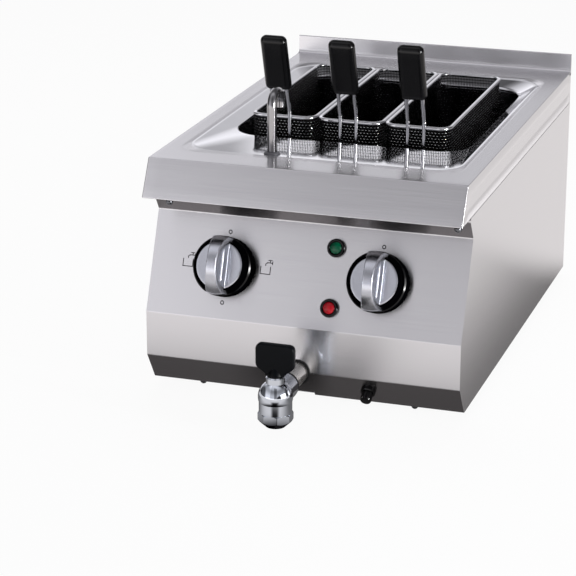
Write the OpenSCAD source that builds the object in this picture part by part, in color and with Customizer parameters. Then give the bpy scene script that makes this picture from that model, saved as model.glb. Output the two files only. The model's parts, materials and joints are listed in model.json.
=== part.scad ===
// Countertop electric pasta cooker: a folded steel cabinet with a recessed well, lift-out
// baskets, a sloped control panel with two knobs and two lamps, and an angled drain valve.
// Millimetres. +Z is up, the front faces -Y, and the origin is under the middle of the
// bounding box. The working values below count y from the worktop's front top edge.

/* [Cabinet] */
// Width of the cabinet and worktop
unit_w = 400; // [390:1:440]
// Depth of the worktop, from its front top edge to the back
unit_d = 600; // [590:1:680]
// Thickness of the steel sheet
sheet_t = 1.5; // [1:0.1:2]
// Inside radius of the folds in the sheet
bend_r = 2; // [1:0.5:3]
// Width of the folded flanges behind the front panel
flange_w = 18; // [14:1:24]
// Height of the bottom edge above the table
foot_h = 12; // [10:1:16]
// Diameter of a foot
foot_d = 36; // [28:1:44]
// Distance of a foot's centre from the side of the cabinet
foot_inset = 62; // [50:1:80]
// Distance of the front feet's centres behind the front bottom edge
foot_setback = 100; // [90:1:130]

/* [Front profile] */
// Height of the sloped apron under the worktop's front edge
apron_drop = 45; // [38:1:52]
// How far the apron's lower edge stands in front of its upper edge
apron_run = 25; // [18:1:30]
// Height of the shaded band between the apron and the control panel
band_drop = 29; // [24:1:34]
// How far the band leans back from top to bottom
band_run = 19; // [14:1:24]
// Distance of the control panel's top edge behind the worktop's front edge
panel_setback = 32; // [26:1:38]
// Height of the control panel
panel_drop = 119; // [114:1:130]
// How far the control panel's lower edge stands in front of its upper edge
panel_run = 49; // [42:1:56]
// Height of the upright panel under the control panel
lower_h = 57; // [50:1:64]
// Height of the bevel at the bottom of the front
bevel_drop = 38; // [34:1:42]
// How far the bevel leans back
bevel_run = 25; // [20:1:28]

/* [Worktop] */
// Flat strip in front of the recess
rim_front = 54; // [48:1:60]
// Sloped floor of the recess in front of the well
front_slope = 112; // [102:1:116]
// Sloped floor of the recess beside the well
side_slope = 17.5; // [14:0.5:20]
// Sloped floor of the recess behind the well
rear_slope = 20; // [14:1:26]
// How far the recess drops to the edge of the well
recess_drop = 8; // [6:0.5:10]
// Corner radius of the recess
recess_corner_r = 34; // [26:1:40]
// Height of the upstand at the back
upstand_h = 25; // [15:1:40]

/* [Tank] */
// Width of the well
tank_w = 308; // [304:1:316]
// Length of the well, front to back
tank_d = 340; // [332:1:350]
// Depth of the well below the recess
tank_h = 200; // [190:1:204]
// Corner radius of the well
tank_corner_r = 40; // [30:1:46]
// Height of the false bottom's upper face above the floor of the well
false_bottom_h = 42; // [38:1:48]
// Gap between the false bottom and the walls
false_bottom_gap = 3; // [2:0.5:5]
// Diameter of the false bottom's holes
drain_hole_d = 18; // [12:1:22]
// Distance between those holes
drain_hole_pitch = 42; // [36:1:48]
// Diameter of the heating tubes
element_d = 8.5; // [7:0.5:10]
// Height of the heating tubes' centre line above the floor of the well
element_lift = 16; // [12:1:20]
// Distance between the two legs of a heating loop
loop_w = 44; // [36:1:50]
// Distance between heating loops
loop_pitch = 90; // [84:1:96]

/* [Knobs] */
// Outer diameter of a knob's skirt
knob_d = 74; // [68:1:78]
// Height of the skirt's cylindrical wall
knob_wall_h = 20; // [17:0.5:22]
// Diameter of the metal face
face_d = 60; // [54:1:62]
// Height of the metal face above the panel
face_h = 30; // [27:0.5:33]
// Height of the grip's crown above the panel
grip_h = 60; // [54:0.5:62]
// Width of the grip at the face
grip_base_w = 21; // [18:0.5:26]
// Width of the grip at its crown
grip_top_w = 12; // [9:0.5:16]
// Gap between a knob and the panel
knob_gap = 0.8; // [0.5:0.1:1.5]
// Place of the water knob across the panel
fill_knob_x = -103; // [-112:1:-96]
// Place of the heat knob across the panel
heat_knob_x = 92.5; // [86:0.5:100]
// Diameter of the spindles
spindle_d = 8; // [6:0.5:10]
// Diameter of the threaded bushes that hold the spindles in the panel
bush_d = 14; // [12.5:0.5:18]

/* [Lamps] */
// Place of both lamps across the panel
lamp_x = 34; // [26:1:38]
// Distance between the lamps, up the panel
lamp_pitch = 73; // [60:1:78]
// Diameter of a lamp's bezel
bezel_d = 23; // [20:0.5:25]
// Diameter of a lamp's lens
lens_d = 14.5; // [13:0.5:17.5]

/* [Drain] */
// Place of the drain across the front
drain_x = -3.5; // [-12:0.5:12]
// Outside diameter of the drain pipe
pipe_d = 27; // [24:0.5:28]
// Wall of the drain pipe
pipe_wall = 2; // [1.5:0.1:2.5]
// Distance of the drain hole behind the front wall of the well
drain_setback = 42; // [38:1:48]
// Distance of the valve's axis in front of the upright panel
valve_reach = 84; // [78:1:96]
// Diameter of the valve's round body
valve_d = 42; // [40:1:48]
// Diameter of the ball in the valve
ball_d = 26; // [24:0.5:27]
// Diameter of the way through the ball
ball_bore_d = 14; // [12:0.5:14]
// Diameter of the valve's inlet collar
collar_d = 34; // [32.5:0.5:38]
// Length of the inlet collar behind the valve's axis
collar_l = 38; // [36:1:42]
// Height of the gland nut above the valve's axis
gland_top = 25.5; // [24:0.5:28]
// Diameter of the gland nut
gland_d = 23; // [20:0.5:25]
// Level of the outlet nut's upper face below the valve's axis
outlet_top = 19.5; // [18:0.5:21]
// Level of the outlet's mouth below the valve's axis
outlet_low = 37.5; // [36:0.5:42]
// Bore of the outlet
outlet_d = 16; // [14.5:0.5:18]
// Width of the valve's paddle handle
handle_w = 48; // [42:1:54]
// Height of the handle
handle_h = 40; // [38:1:48]
// Thickness of the handle
handle_t = 10; // [8:0.5:13]
// Diameter of the valve's stem
stem_d = 8; // [7:0.5:9]

/* [Reset button] */
// Place of the reset button across the bevel
reset_x = 84; // [78:1:96]
// Distance of the reset button below the bevel's upper edge
reset_down = 20; // [18:1:24]
// Outside diameter of the collar
reset_collar_d = 18.5; // [17:0.5:21]
// Diameter of the button
reset_d = 14; // [12:0.5:15]
// How far the button stands out of the panel
reset_out = 18; // [15:0.5:20]
// How far the button can be pressed
reset_travel = 3; // [2:0.5:4]

/* [Water supply] */
// Place of the spout across the worktop
spout_x = -62; // [-68:1:-54]
// Distance of the spout behind the front edge of the recess
spout_setback = 8; // [7:0.5:12]
// Outside diameter of the water tubes
spout_d = 12; // [10:0.5:13]
// Straight height of the spout above the worktop
spout_rise = 58; // [40:1:80]
// Bend radius of the spout
spout_bend = 16; // [14:1:18]
// Depth of the water inlet and the cable gland below the floor of the well
inlet_drop = 30; // [24:1:36]
// Outside diameter of the inlet's thread
inlet_d = 26.4; // [20:0.2:26.4]
// Length of the inlet's thread
inlet_l = 14; // [12:0.5:18]
// Distance of the cable gland from the right side
gland_inset = 50; // [42:1:60]
// Diameter of the cable that the gland takes
cable_d = 13; // [10:0.5:14]

/* [Baskets] */
// Width of a basket
basket_w = 84; // [78:0.5:84]
// Length of a basket
basket_l = 290; // [270:1:300]
// Height of a basket's mesh
basket_h = 178; // [160:1:190]
// Distance between basket centres
basket_pitch = 88; // [88:0.5:92]
// Distance of the baskets behind the front wall of the well
basket_setback = 15; // [12:1:20]
// Thickness of the mesh
mesh_t = 2; // [1.5:0.1:3]
// Diameter of the frame wire
wire_d = 5; // [4:0.5:5]
// Distance between the two wires of a handle
handle_pitch = 21; // [18:0.5:26]
// How far a handle leans forward, in degrees
handle_lean = 18; // [10:1:24]
// Free length of the handle wires above the rim
handle_free = 34; // [28:1:50]
// Length of a grip
grip_l = 76; // [60:1:90]
// Thickness of a grip
grip_t = 15; // [12:0.5:18]

/* [Hidden] */
$fn = 64;
eps = 0.01;
bend_steps = 6;
slide_clear = 0.05;
loose_clear = 0.2;
rest_clear = 0.3;

// Levels of the front profile, from the bottom edge up
z_g = foot_h;
z_f = z_g + bevel_drop;
z_e = z_f + lower_h;
z_d = z_e + panel_drop;
z_b = z_d + band_drop;
z_a = z_b + apron_drop;
// Distances of the same edges behind the worktop's front top edge
y_b = -apron_run;
y_d = panel_setback;
y_c = y_d - band_run;
y_e = y_d - panel_run;
y_g = y_e + bevel_run;
lip_end = y_c + flange_w;

panel_l = norm([panel_run, panel_drop]);
panel_tilt = atan(panel_run / panel_drop);
bevel_l = norm([bevel_run, bevel_drop]);
bevel_tilt = atan(bevel_run / bevel_drop);
band_l = norm([band_run, band_drop]);
band_tilt = atan(band_run / band_drop);
panel_mid = panel_l / 2;

inner_w = unit_w - 2 * sheet_t;
base_z = z_g + 2 * sheet_t;
foot_y = [y_g + foot_setback, unit_d - foot_inset];

tank_y0 = rim_front + front_slope;
tank_y1 = tank_y0 + tank_d;
tank_mid_y = (tank_y0 + tank_y1) / 2;
well_z = z_a - recess_drop;
tank_z = well_z - tank_h;
recess_w = tank_w + 2 * side_slope;
recess_y1 = tank_y1 + rear_slope;

element_z = tank_z + element_lift;
loops = 3;
loop_front_y = tank_y0 + drain_setback + pipe_d + loop_w / 2;
element_tail = 32;
element_flange_t = 5;
element_flange_w = (loops - 1) * loop_pitch + loop_w + 4 * element_d;
element_flange_h = 4 * element_d;
false_bottom_z = tank_z + false_bottom_h;
false_bottom_t = 2;
false_leg_d = 12;
false_leg_inset = 22;

drain_y = tank_y0 + drain_setback;
pipe_r = pipe_d / 2;
pipe_bore_r = pipe_r - pipe_wall;
// The bend is as wide as the pipe, or tighter where the well leaves less room over the pipe
elbow_r = min(pipe_d, tank_z - sheet_t - z_f - 1);
elbow_flange_t = 3;
elbow_flange_d = pipe_d + 18;
valve_y = y_e - valve_reach;
pipe_end_y = valve_y + collar_l - 14;
grommet_hole_d = pipe_d + 3;
grommet_d = pipe_d + 5;
grommet_lip = 1.5;
notch_plate_w = grommet_hole_d + 26;

valve_r = valve_d / 2;
ball_r = ball_d / 2;
cavity_r = ball_r + rest_clear;
seat_r = ball_bore_d / 2 + 2.5;
seat_end = ball_r + 2;
gland_low = sqrt(valve_r * valve_r - gland_d * gland_d / 4);
handle_low = gland_top + 0.4;
handle_hub_d = gland_d - 3;
handle_neck_w = gland_d + 2;
handle_neck_h = 3;
handle_shoulder = handle_low + 11;
stem_top = handle_low + 14;
stem_low = ball_r - 5;

spout_y = rim_front + spout_setback;
spout_r = spout_d / 2;
spout_z = z_a - recess_drop * spout_setback / front_slope;

fill_axis = [fill_knob_x, panel_mid];
heat_axis = [heat_knob_x, panel_mid];
valve_block_d = 32;
// The water valve's ports stand under the spout
valve_port_depth = (spout_y - y_d + panel_mid * sin(panel_tilt)) / cos(panel_tilt);
valve_block_l = valve_port_depth + valve_block_d / 2;
valve_port_z = z_d - panel_mid * cos(panel_tilt) - valve_port_depth * sin(panel_tilt);
valve_port_out = 26;
switch_w = 46;
switch_l = 42;
hub_d = spindle_d + 8;
spindle_top = face_h - 4;
spindle_in = 20;
bush_out = 5;

lamp_down = [panel_mid - lamp_pitch / 2, panel_mid + lamp_pitch / 2];
bezel_h = 6;
holder_d = lens_d - 0.4;
holder_l = 32;

thermostat_size = [38, 30, 24];
reset_barrel_d = 12;
reset_pin_d = 6;
reset_collar_h = 6;
bulb_d = 6;
bulb_z = element_z + element_d;
bulb_l = 70;
capillary_d = 3;

spout_tail = 18;
gasket_t = 3;
gasket_d = spout_d + 8;
tube_side_x = -(unit_w + tank_w) / 4;
tube_bend_r = 16;
inlet_x = fill_knob_x;
inlet_z = tank_z - inlet_drop;
inlet_nut_t = 5;
inlet_out = inlet_nut_t + inlet_l;
inlet_socket = 12;
gland_x = unit_w / 2 - gland_inset;
gland_body_d = cable_d + 11;
contactor_size = [46, 60, 58];
contactor_top_h = 10;
contactor_x = 20;
contactor_gap = 14;
terminal_ways = 5;
terminal_pitch = 14;
terminal_d = 28;
terminal_h = 24;
terminal_gap = 42;

basket_y = tank_y0 + basket_setback + basket_l / 2;
basket_z = false_bottom_z + rest_clear;
basket_corner_r = 15;
basket_top = basket_h + wire_d / 2;
wire_r = wire_d / 2;
handle_down = 62;
grip_w = handle_pitch + grip_t - 2;

screw_head_d = 9;
screw_head_h = 4.5;
screw_d = 4;
screw_l = 9;
base_screw_x = unit_w / 2 - foot_inset - 1;
base_screw_back = screw_head_d / 2 + 1.5;
band_screw_x = unit_w / 2 - 17;
band_screw_down = band_l / 2 + 3;

// The drain valve is the foremost piece and the inlet the rearmost
origin_y = -(valve_y - valve_r + unit_d + inlet_out) / 2;

steel = "#c4c4c8";
polished = "#d6d6da";
chrome = "#dcdde0";
black = "#1b1b1d";
satin = "#b9bac0";
brass = "#c8a24e";
copper = "#c07f56";

// Paths and folded sheet

function unit(v) = v / norm(v);
function left_of(v) = [-v.y, v.x];
function turned(v, a) = [v.x * cos(a) - v.y * sin(a), v.x * sin(a) + v.y * cos(a)];
function leg(points, i) = unit(points[i + 1] - points[i]);

// A polyline moved to its left by a distance, with mitred corners
function shifted(points, distance) = [
    for (i = [0 : len(points) - 1])
        let (
            before = left_of(leg(points, max(i - 1, 0))),
            after = left_of(leg(points, min(i, len(points) - 2)))
        )
        points[i] + distance * (before + after) / (1 + before * after)
];

// Points and left normals round one fold, from direction u to direction w
function fold(p, u, w, r) =
    let (
        side = sign(u.x * w.y - u.y * w.x),
        turn = acos(u * w),
        centre = p - u * r * tan(turn / 2) + side * r * left_of(u)
    )
    [
        for (k = [0 : bend_steps])
            let (n = turned(left_of(u), side * turn * k / bend_steps))
            [centre - side * r * n, n]
    ];

// Points and left normals along a polyline with rounded folds
function folded(points, r) = [
    for (i = [0 : len(points) - 1])
        each (i == 0 || i == len(points) - 1)
            ? [[points[i], left_of(leg(points, min(i, len(points) - 2)))]]
            : fold(points[i], leg(points, i - 1), leg(points, i), r)
];

// Middle line of a sheet whose outer face follows the points
function sheet_path(points) = folded(shifted(points, sheet_t / 2), bend_r + sheet_t / 2);
function sheet_side(points, side) = [for (q = sheet_path(points)) q[0] + side * q[1] * sheet_t / 2];
function reversed(list) = [for (i = [len(list) - 1 : -1 : 0]) list[i]];

// A profile drawn in y and z, extruded across the unit
module along_x(width) {
    translate([-width / 2, 0, 0])
        rotate([90, 0, 90])
            linear_extrude(width)
                children();
}

module folded_sheet(points, width) {
    along_x(width)
        polygon(concat(sheet_side(points, -1), reversed(sheet_side(points, 1))));
}

module rounded_rect(w, d, r) {
    square([w - 2 * r, d], center = true);
    square([w, d - 2 * r], center = true);
    for (x = [-1, 1], y = [-1, 1])
        translate([x * (w / 2 - r), y * (d / 2 - r)])
            circle(r);
}

// A round bar along +Y, and one along any segment
module bar_y(d, from, to) {
    translate([0, from, 0])
        rotate([-90, 0, 0])
            cylinder(d = d, h = to - from);
}

module bar(a, b, d) {
    v = b - a;
    translate(a)
        rotate([0, acos(v.z / norm(v)), atan2(v.y, v.x)])
            cylinder(d = d, h = norm(v));
}

// A quarter or lesser bend of a tube at p, from direction u to direction w
module tube_bend(p, u, w, d, r) {
    turn = acos(u * w);
    inward = unit(w - u * (u * w));
    centre = p - u * r * tan(turn / 2) + inward * r;
    side = cross(-inward, u);
    multmatrix([
        [-inward.x, u.x, side.x, centre.x],
        [-inward.y, u.y, side.y, centre.y],
        [-inward.z, u.z, side.z, centre.z]
    ])
        rotate_extrude(angle = turn)
            translate([r, 0])
                circle(d = d);
}

// How far a bend at a point of a route reaches along its legs
function bend_reach(points, i, r) =
    i == 0 || i == len(points) - 1 ? 0 : r * tan(acos(leg(points, i - 1) * leg(points, i)) / 2);

// A tube that follows the points, bent to radius r at each of them
module route(points, d, r) {
    last = len(points) - 1;
    for (i = [0 : last - 1])
        bar(points[i] + leg(points, i) * bend_reach(points, i, r),
            points[i + 1] - leg(points, i) * bend_reach(points, i + 1, r), d);
    for (i = [1 : last - 1])
        tube_bend(points[i], leg(points, i - 1), leg(points, i), d, r);
}

// Places on the front, with local +Z out of the face and local +Y up the face

module on_panel(x, down) {
    translate([x, y_d - down * sin(panel_tilt), z_d - down * cos(panel_tilt)])
        rotate([90 - panel_tilt, 0, 0])
            children();
}

module on_bevel(x, down) {
    translate([x, y_e + down * sin(bevel_tilt), z_f - down * cos(bevel_tilt)])
        rotate([90 + bevel_tilt, 0, 0])
            children();
}

module on_band(x, down) {
    translate([x, y_c + down * sin(band_tilt), z_b - down * cos(band_tilt)])
        rotate([90 + band_tilt, 0, 0])
            children();
}

module at_valve() {
    translate([drain_x, valve_y, z_f])
        children();
}

// Screw places shared by the screws and their holes

module base_screw_places() {
    for (x = [-1, 1], y = [y_g + base_screw_back, unit_d - flange_w])
        translate([x * base_screw_x, y, z_g + (y > tank_y0 ? sheet_t : 0)])
            rotate([180, 0, 0])
                children();
}

module band_screw_places() {
    for (x = [-1, 1])
        on_band(x * band_screw_x, band_screw_down)
            children();
}

module screw() {
    intersection() {
        translate([0, 0, -screw_head_d / 2 + screw_head_h])
            sphere(d = screw_head_d);
        cylinder(d = screw_head_d + 1, h = screw_head_h + 1);
    }
    translate([0, 0, -screw_l])
        cylinder(d = screw_d, h = screw_l);
}

module screw_hole() {
    translate([0, 0, -screw_l - 1])
        cylinder(d = screw_d + loose_clear, h = screw_l + 2);
}

// Worktop

worktop_points = [
    [unit_d - sheet_t, z_a + upstand_h], [unit_d - sheet_t, z_a], [0, z_a], [y_b, z_b], [lip_end, z_b]
];

module recess_block(lower, grow) {
    hull() {
        translate([0, (rim_front + recess_y1) / 2, z_a - lower])
            linear_extrude(eps)
                rounded_rect(recess_w, recess_y1 - rim_front, recess_corner_r, $fn = 32);
        translate([0, tank_mid_y, well_z - lower])
            linear_extrude(eps)
                rounded_rect(tank_w + 2 * grow, tank_d + 2 * grow, tank_corner_r + grow, $fn = 32);
    }
}

module worktop() {
    color(steel)
    difference() {
        union() {
            difference() {
                folded_sheet(worktop_points, unit_w);
                translate([0, (rim_front + recess_y1) / 2, z_a - 2 * sheet_t])
                    linear_extrude(4 * sheet_t)
                        rounded_rect(recess_w, recess_y1 - rim_front, recess_corner_r);
            }
            difference() {
                recess_block(sheet_t, sheet_t);
                recess_block(0, 0);
                translate([0, tank_mid_y, well_z - tank_h / 2])
                    linear_extrude(tank_h)
                        rounded_rect(tank_w, tank_d, tank_corner_r);
            }
            for (x = [-1, 1])
                translate([x * (unit_w - sheet_t) / 2, 0, 0])
                    along_x(sheet_t)
                        polygon(concat(sheet_side(worktop_points, -1),
                                       [[unit_d, z_b], [unit_d, z_a + upstand_h]]));
            translate([-unit_w / 2, unit_d - sheet_t, z_b])
                cube([unit_w, sheet_t, apron_drop]);
        }
        translate([spout_x, spout_y, z_a - spout_tail])
            cylinder(d = spout_d + loose_clear, h = 2 * spout_tail);
    }
}

// Tank and what stands in it

module element_legs() {
    for (i = [0 : loops - 1], side = [-1, 1])
        translate([(i - (loops - 1) / 2) * loop_pitch + side * loop_w / 2, 0, element_z])
            children();
}

module tank() {
    color(polished)
    difference() {
        translate([0, tank_mid_y, tank_z - sheet_t])
            linear_extrude(tank_h)
                rounded_rect(tank_w + 2 * sheet_t, tank_d + 2 * sheet_t, tank_corner_r + sheet_t);
        translate([0, tank_mid_y, tank_z])
            linear_extrude(tank_h)
                rounded_rect(tank_w, tank_d, tank_corner_r);
        translate([drain_x, drain_y, tank_z - 2 * sheet_t])
            cylinder(r = pipe_bore_r, h = 4 * sheet_t);
        element_legs()
            bar_y(element_d + loose_clear, tank_y1 - sheet_t, tank_y1 + 2 * sheet_t);
        translate([reset_x, 0, bulb_z])
            bar_y(bulb_d + loose_clear, tank_y0 - 2 * sheet_t, tank_y0 + sheet_t);
    }
}

module false_bottom() {
    w = tank_w - 2 * false_bottom_gap;
    d = tank_d - 2 * false_bottom_gap;
    columns = floor((w / 2 - drain_hole_pitch / 2) / drain_hole_pitch);
    rows = floor((d / 2 - drain_hole_pitch / 2) / drain_hole_pitch);
    color(steel)
    translate([0, tank_mid_y, 0]) {
        difference() {
            translate([0, 0, false_bottom_z - false_bottom_t])
                linear_extrude(false_bottom_t)
                    rounded_rect(w, d, tank_corner_r - false_bottom_gap);
            for (i = [-columns : columns], j = [-rows : rows])
                if (abs(i) < columns || abs(j) < rows)
                    translate([i, j, 0] * drain_hole_pitch + [0, 0, false_bottom_z - 2 * false_bottom_t])
                        cylinder(d = drain_hole_d, h = 3 * false_bottom_t);
        }
        for (x = [-1, 1], y = [-1, 1])
            translate([x * (w / 2 - false_leg_inset), y * (d / 2 - false_leg_inset), tank_z])
                cylinder(d = false_leg_d, h = false_bottom_h - false_bottom_t);
    }
}

module heating_element() {
    color("#8c8984")
    for (i = [0 : loops - 1])
        translate([(i - (loops - 1) / 2) * loop_pitch, loop_front_y, element_z]) {
            for (side = [-1, 1])
                translate([side * loop_w / 2, 0, 0])
                    bar_y(element_d, 0, tank_y1 + element_tail - loop_front_y);
            rotate([0, 0, 180])
                rotate_extrude(angle = 180)
                    translate([loop_w / 2, 0])
                        circle(d = element_d);
        }
}

module element_flange() {
    color(brass)
    difference() {
        translate([-element_flange_w / 2, tank_y1 + sheet_t, element_z - element_flange_h / 2])
            cube([element_flange_w, element_flange_t, element_flange_h]);
        element_legs()
            bar_y(element_d + loose_clear, tank_y1, tank_y1 + 3 * element_flange_t);
    }
}

// Cabinet sheets

front_points = [
    [lip_end, z_b], [y_c, z_b], [y_d, z_d], [y_e, z_e], [y_e, z_f], [y_g, z_g], [y_g + flange_w, z_g]
];

module drain_notch(width) {
    translate([drain_x, 0, z_f])
        bar_y(width, y_e - bevel_run, y_g + bevel_run);
    translate([drain_x - width / 2, y_e + bend_r + 2 * sheet_t, z_g - bevel_drop])
        cube([width, bevel_run + flange_w, 2 * bevel_drop]);
}

module front_panel() {
    color(steel)
    difference() {
        folded_sheet(front_points, unit_w);
        for (axis = [fill_axis, heat_axis])
            on_panel(axis.x, axis.y)
                cylinder(d = bush_d + loose_clear, h = 8 * sheet_t, center = true);
        for (down = lamp_down)
            on_panel(lamp_x, down)
                cylinder(d = holder_d + loose_clear, h = 8 * sheet_t, center = true);
        on_bevel(reset_x, reset_down)
            cylinder(d = reset_barrel_d + loose_clear, h = 8 * sheet_t, center = true);
        drain_notch(grommet_hole_d);
        base_screw_places()
            screw_hole();
        band_screw_places()
            screw_hole();
    }
}

module notch_plate() {
    color(steel)
    difference() {
        on_bevel(drain_x, 0)
            translate([-notch_plate_w / 2, -bevel_l + 3 * sheet_t, -2 * sheet_t])
                cube([notch_plate_w, bevel_l - 6 * sheet_t, sheet_t]);
        translate([drain_x, 0, z_f])
            bar_y(grommet_hole_d, y_e - bevel_run, y_g + bevel_run);
    }
}

module side_panel(side) {
    inside = sheet_side(front_points, 1);
    color(steel)
    translate([side * (unit_w - sheet_t) / 2, 0, 0])
        along_x(sheet_t)
            polygon(concat(inside, [[y_g + flange_w, z_g], [unit_d, z_g], [unit_d, z_b], [lip_end, z_b]]));
}

module back_panel() {
    vent_w = 70;
    vent_h = 5;
    vent_pitch = 14;
    vents = 5;
    color(steel)
    difference() {
        translate([-inner_w / 2, unit_d - sheet_t, base_z])
            cube([inner_w, sheet_t, z_b - base_z]);
        for (side = [-1, 1], i = [0 : vents - 1])
            translate([side * vent_w, unit_d, z_b - 2 * vent_pitch - i * vent_pitch])
                cube([vent_w, 4 * sheet_t, vent_h], center = true);
        translate([inlet_x, unit_d, inlet_z])
            bar_y(inlet_d - 1 + loose_clear, -2 * sheet_t, 2 * sheet_t);
        translate([gland_x, unit_d, inlet_z])
            bar_y(cable_d + 5 + loose_clear, -2 * sheet_t, 2 * sheet_t);
    }
}

module base_plate() {
    color(steel)
    difference() {
        translate([-inner_w / 2, y_g + bend_r + sheet_t, z_g + sheet_t])
            cube([inner_w, unit_d - y_g - bend_r - sheet_t, sheet_t]);
        base_screw_places()
            screw_hole();
    }
}

module feet() {
    color(black)
    for (x = [-1, 1], y = foot_y)
        translate([x * (unit_w / 2 - foot_inset), y, 0])
            rotate_extrude()
                polygon([
                    [0, 0], [foot_d / 2 - 4, 0], [foot_d / 2 - 3, 1.5], [foot_d / 2, z_g + sheet_t - 2],
                    [foot_d / 2, z_g + sheet_t], [0, z_g + sheet_t]
                ]);
}

module panel_screws() {
    color(satin) {
        base_screw_places()
            screw();
        band_screw_places()
            screw();
    }
}

// Knobs, drawn with the panel's face at z = 0

module skirt_solid() {
    rim = face_d / 2 + 1.2;
    rotate_extrude()
        polygon([
            [0, knob_gap], [knob_d / 2 - 1, knob_gap], [knob_d / 2, knob_gap + 1],
            [knob_d / 2, knob_wall_h - 1], [knob_d / 2 - 0.6, knob_wall_h],
            [rim + 0.6, face_h - 0.8], [rim, face_h], [0, face_h]
        ]);
}

// The crown of the grip is a round arch that runs from rim to rim
crown_half = knob_d / 2 - 1;
crown_rise = grip_h - knob_wall_h - 1.5;
crown_r = (crown_half * crown_half + crown_rise * crown_rise) / (2 * crown_rise);
face_sink = 1.6;

module grip_bar() {
    slope = (grip_base_w - grip_top_w) / 2 / (grip_h - face_h);
    low = knob_wall_h - 4;
    low_w = grip_base_w + 2 * slope * (face_h - low);
    intersection() {
        translate([0, 0, grip_h - crown_r])
            rotate([0, 90, 0])
                cylinder(r = crown_r, h = 2 * grip_base_w, center = true, $fn = 128);
        rotate([90, 0, 0])
            linear_extrude(knob_d, center = true)
                polygon([
                    [-low_w / 2, low], [low_w / 2, low], [grip_top_w / 2, grip_h], [-grip_top_w / 2, grip_h]
                ]);
        cylinder(r = crown_half, h = 2 * grip_h);
    }
}

// A finger rib runs along each flank of the grip
module grip_ribs() {
    flank = atan((grip_base_w - grip_top_w) / 2 / (grip_h - face_h));
    rib_z = face_h + 0.42 * (grip_h - face_h);
    rib_x = grip_base_w / 2 - (rib_z - face_h) * tan(flank);
    rib_half = 0.59 * crown_half;
    rib_d = 2.4;
    for (side = [-1, 1])
        translate([side * rib_x, 0, rib_z])
            bar_y(rib_d, -rib_half, rib_half);
}

module face_seat() {
    translate([0, 0, face_h - face_sink])
        cylinder(d = face_d, h = 2 * face_sink);
}

module knob_skirt() {
    color(black)
    difference() {
        skirt_solid();
        face_seat();
        difference() {
            translate([0, 0, -eps])
                cylinder(d = knob_d - 6, h = knob_wall_h - 2.5);
            cylinder(d = hub_d, h = knob_wall_h);
        }
        cylinder(d = spindle_d + slide_clear, h = spindle_top);
        translate([0, 0, -eps])
            cylinder(d = bush_d + 2, h = bush_out + 1);
    }
}

module knob_cap() {
    color(satin)
    union() {
        intersection() {
            face_seat();
            cylinder(d = knob_d, h = face_h);
        }
        difference() {
            union() {
                grip_bar();
                grip_ribs();
            }
            skirt_solid();
        }
    }
}

module spindle() {
    color(satin)
    translate([0, 0, -sheet_t - spindle_in])
        cylinder(d = spindle_d, h = sheet_t + spindle_in + spindle_top);
}

module bush() {
    translate([0, 0, -sheet_t - spindle_in / 2])
        cylinder(d = bush_d, h = sheet_t + spindle_in / 2 + bush_out);
}

module spindle_bore() {
    translate([0, 0, -sheet_t - spindle_in - 1])
        cylinder(d = spindle_d + 2 * slide_clear, h = 4 * spindle_in);
}

module fill_valve() {
    color(brass)
    difference() {
        union() {
            on_panel(fill_axis.x, fill_axis.y) {
                bush();
                translate([0, 0, -sheet_t - valve_block_l])
                    cylinder(d = valve_block_d, h = valve_block_l);
            }
            translate([fill_knob_x, spout_y, valve_port_z - valve_port_out])
                cylinder(d = spout_d + 6, h = 2 * valve_port_out);
        }
        on_panel(fill_axis.x, fill_axis.y)
            spindle_bore();
    }
}

module heat_switch() {
    color("#2b2b30")
    on_panel(heat_axis.x, heat_axis.y)
        difference() {
            union() {
                bush();
                translate([0, 0, -sheet_t - switch_l / 2])
                    cube([switch_w, switch_w, switch_l], center = true);
                for (x = [-1, 1], y = [-1, 0, 1])
                    translate([x * switch_w / 3, y * switch_w / 3, -sheet_t - switch_l - 4])
                        cube([6, 1, 8], center = true);
            }
            spindle_bore();
        }
}

// Lamps

module lamp_bezel(down) {
    color(black)
    on_panel(lamp_x, down)
        rotate_extrude()
            polygon([
                [lens_d / 2 + 0.1, 0], [bezel_d / 2, 0], [bezel_d / 2, bezel_h - 2],
                [bezel_d / 2 - 1.2, bezel_h], [lens_d / 2 + 1.2, bezel_h], [lens_d / 2 + 0.1, bezel_h - 1]
            ]);
}

module lamp_lens(down, tint) {
    dome = 2.6;
    dome_r = (lens_d * lens_d / 4 + dome * dome) / (2 * dome);
    color(tint)
    on_panel(lamp_x, down)
        intersection() {
            translate([0, 0, bezel_h + dome - 1 - dome_r])
                sphere(r = dome_r);
            translate([0, 0, 1])
                cylinder(d = lens_d, h = bezel_h + dome);
        }
}

module lamp_holders() {
    color("#3a3a3e")
    for (down = lamp_down)
        on_panel(lamp_x, down) {
            translate([0, 0, -sheet_t - holder_l])
                cylinder(d = holder_d, h = holder_l + sheet_t + 1);
            translate([0, 0, -sheet_t - 5])
                cylinder(d = bezel_d - 1, h = 5, $fn = 6);
        }
}

// Drain

module drain_elbow() {
    color(steel)
    translate([drain_x, drain_y, 0])
        difference() {
            union() {
                translate([0, 0, tank_z - sheet_t - elbow_flange_t])
                    cylinder(d = elbow_flange_d, h = elbow_flange_t);
                translate([0, 0, z_f + elbow_r])
                    cylinder(r = pipe_r, h = tank_z - sheet_t - z_f - elbow_r);
                elbow_sweep(pipe_r);
            }
            translate([0, 0, z_f + elbow_r])
                cylinder(r = pipe_bore_r, h = tank_z);
            elbow_sweep(pipe_bore_r);
        }
}

// A quarter bend from straight down to straight forward
module elbow_sweep(r) {
    translate([0, -elbow_r, z_f + elbow_r])
        rotate([0, 90, 0])
            rotate_extrude(angle = 90)
                translate([elbow_r, 0])
                    circle(r);
}

module drain_pipe() {
    color(steel)
    translate([drain_x, 0, z_f])
        difference() {
            bar_y(pipe_d, pipe_end_y, drain_y - elbow_r);
            bar_y(2 * pipe_bore_r, pipe_end_y - 1, drain_y);
        }
}

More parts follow.
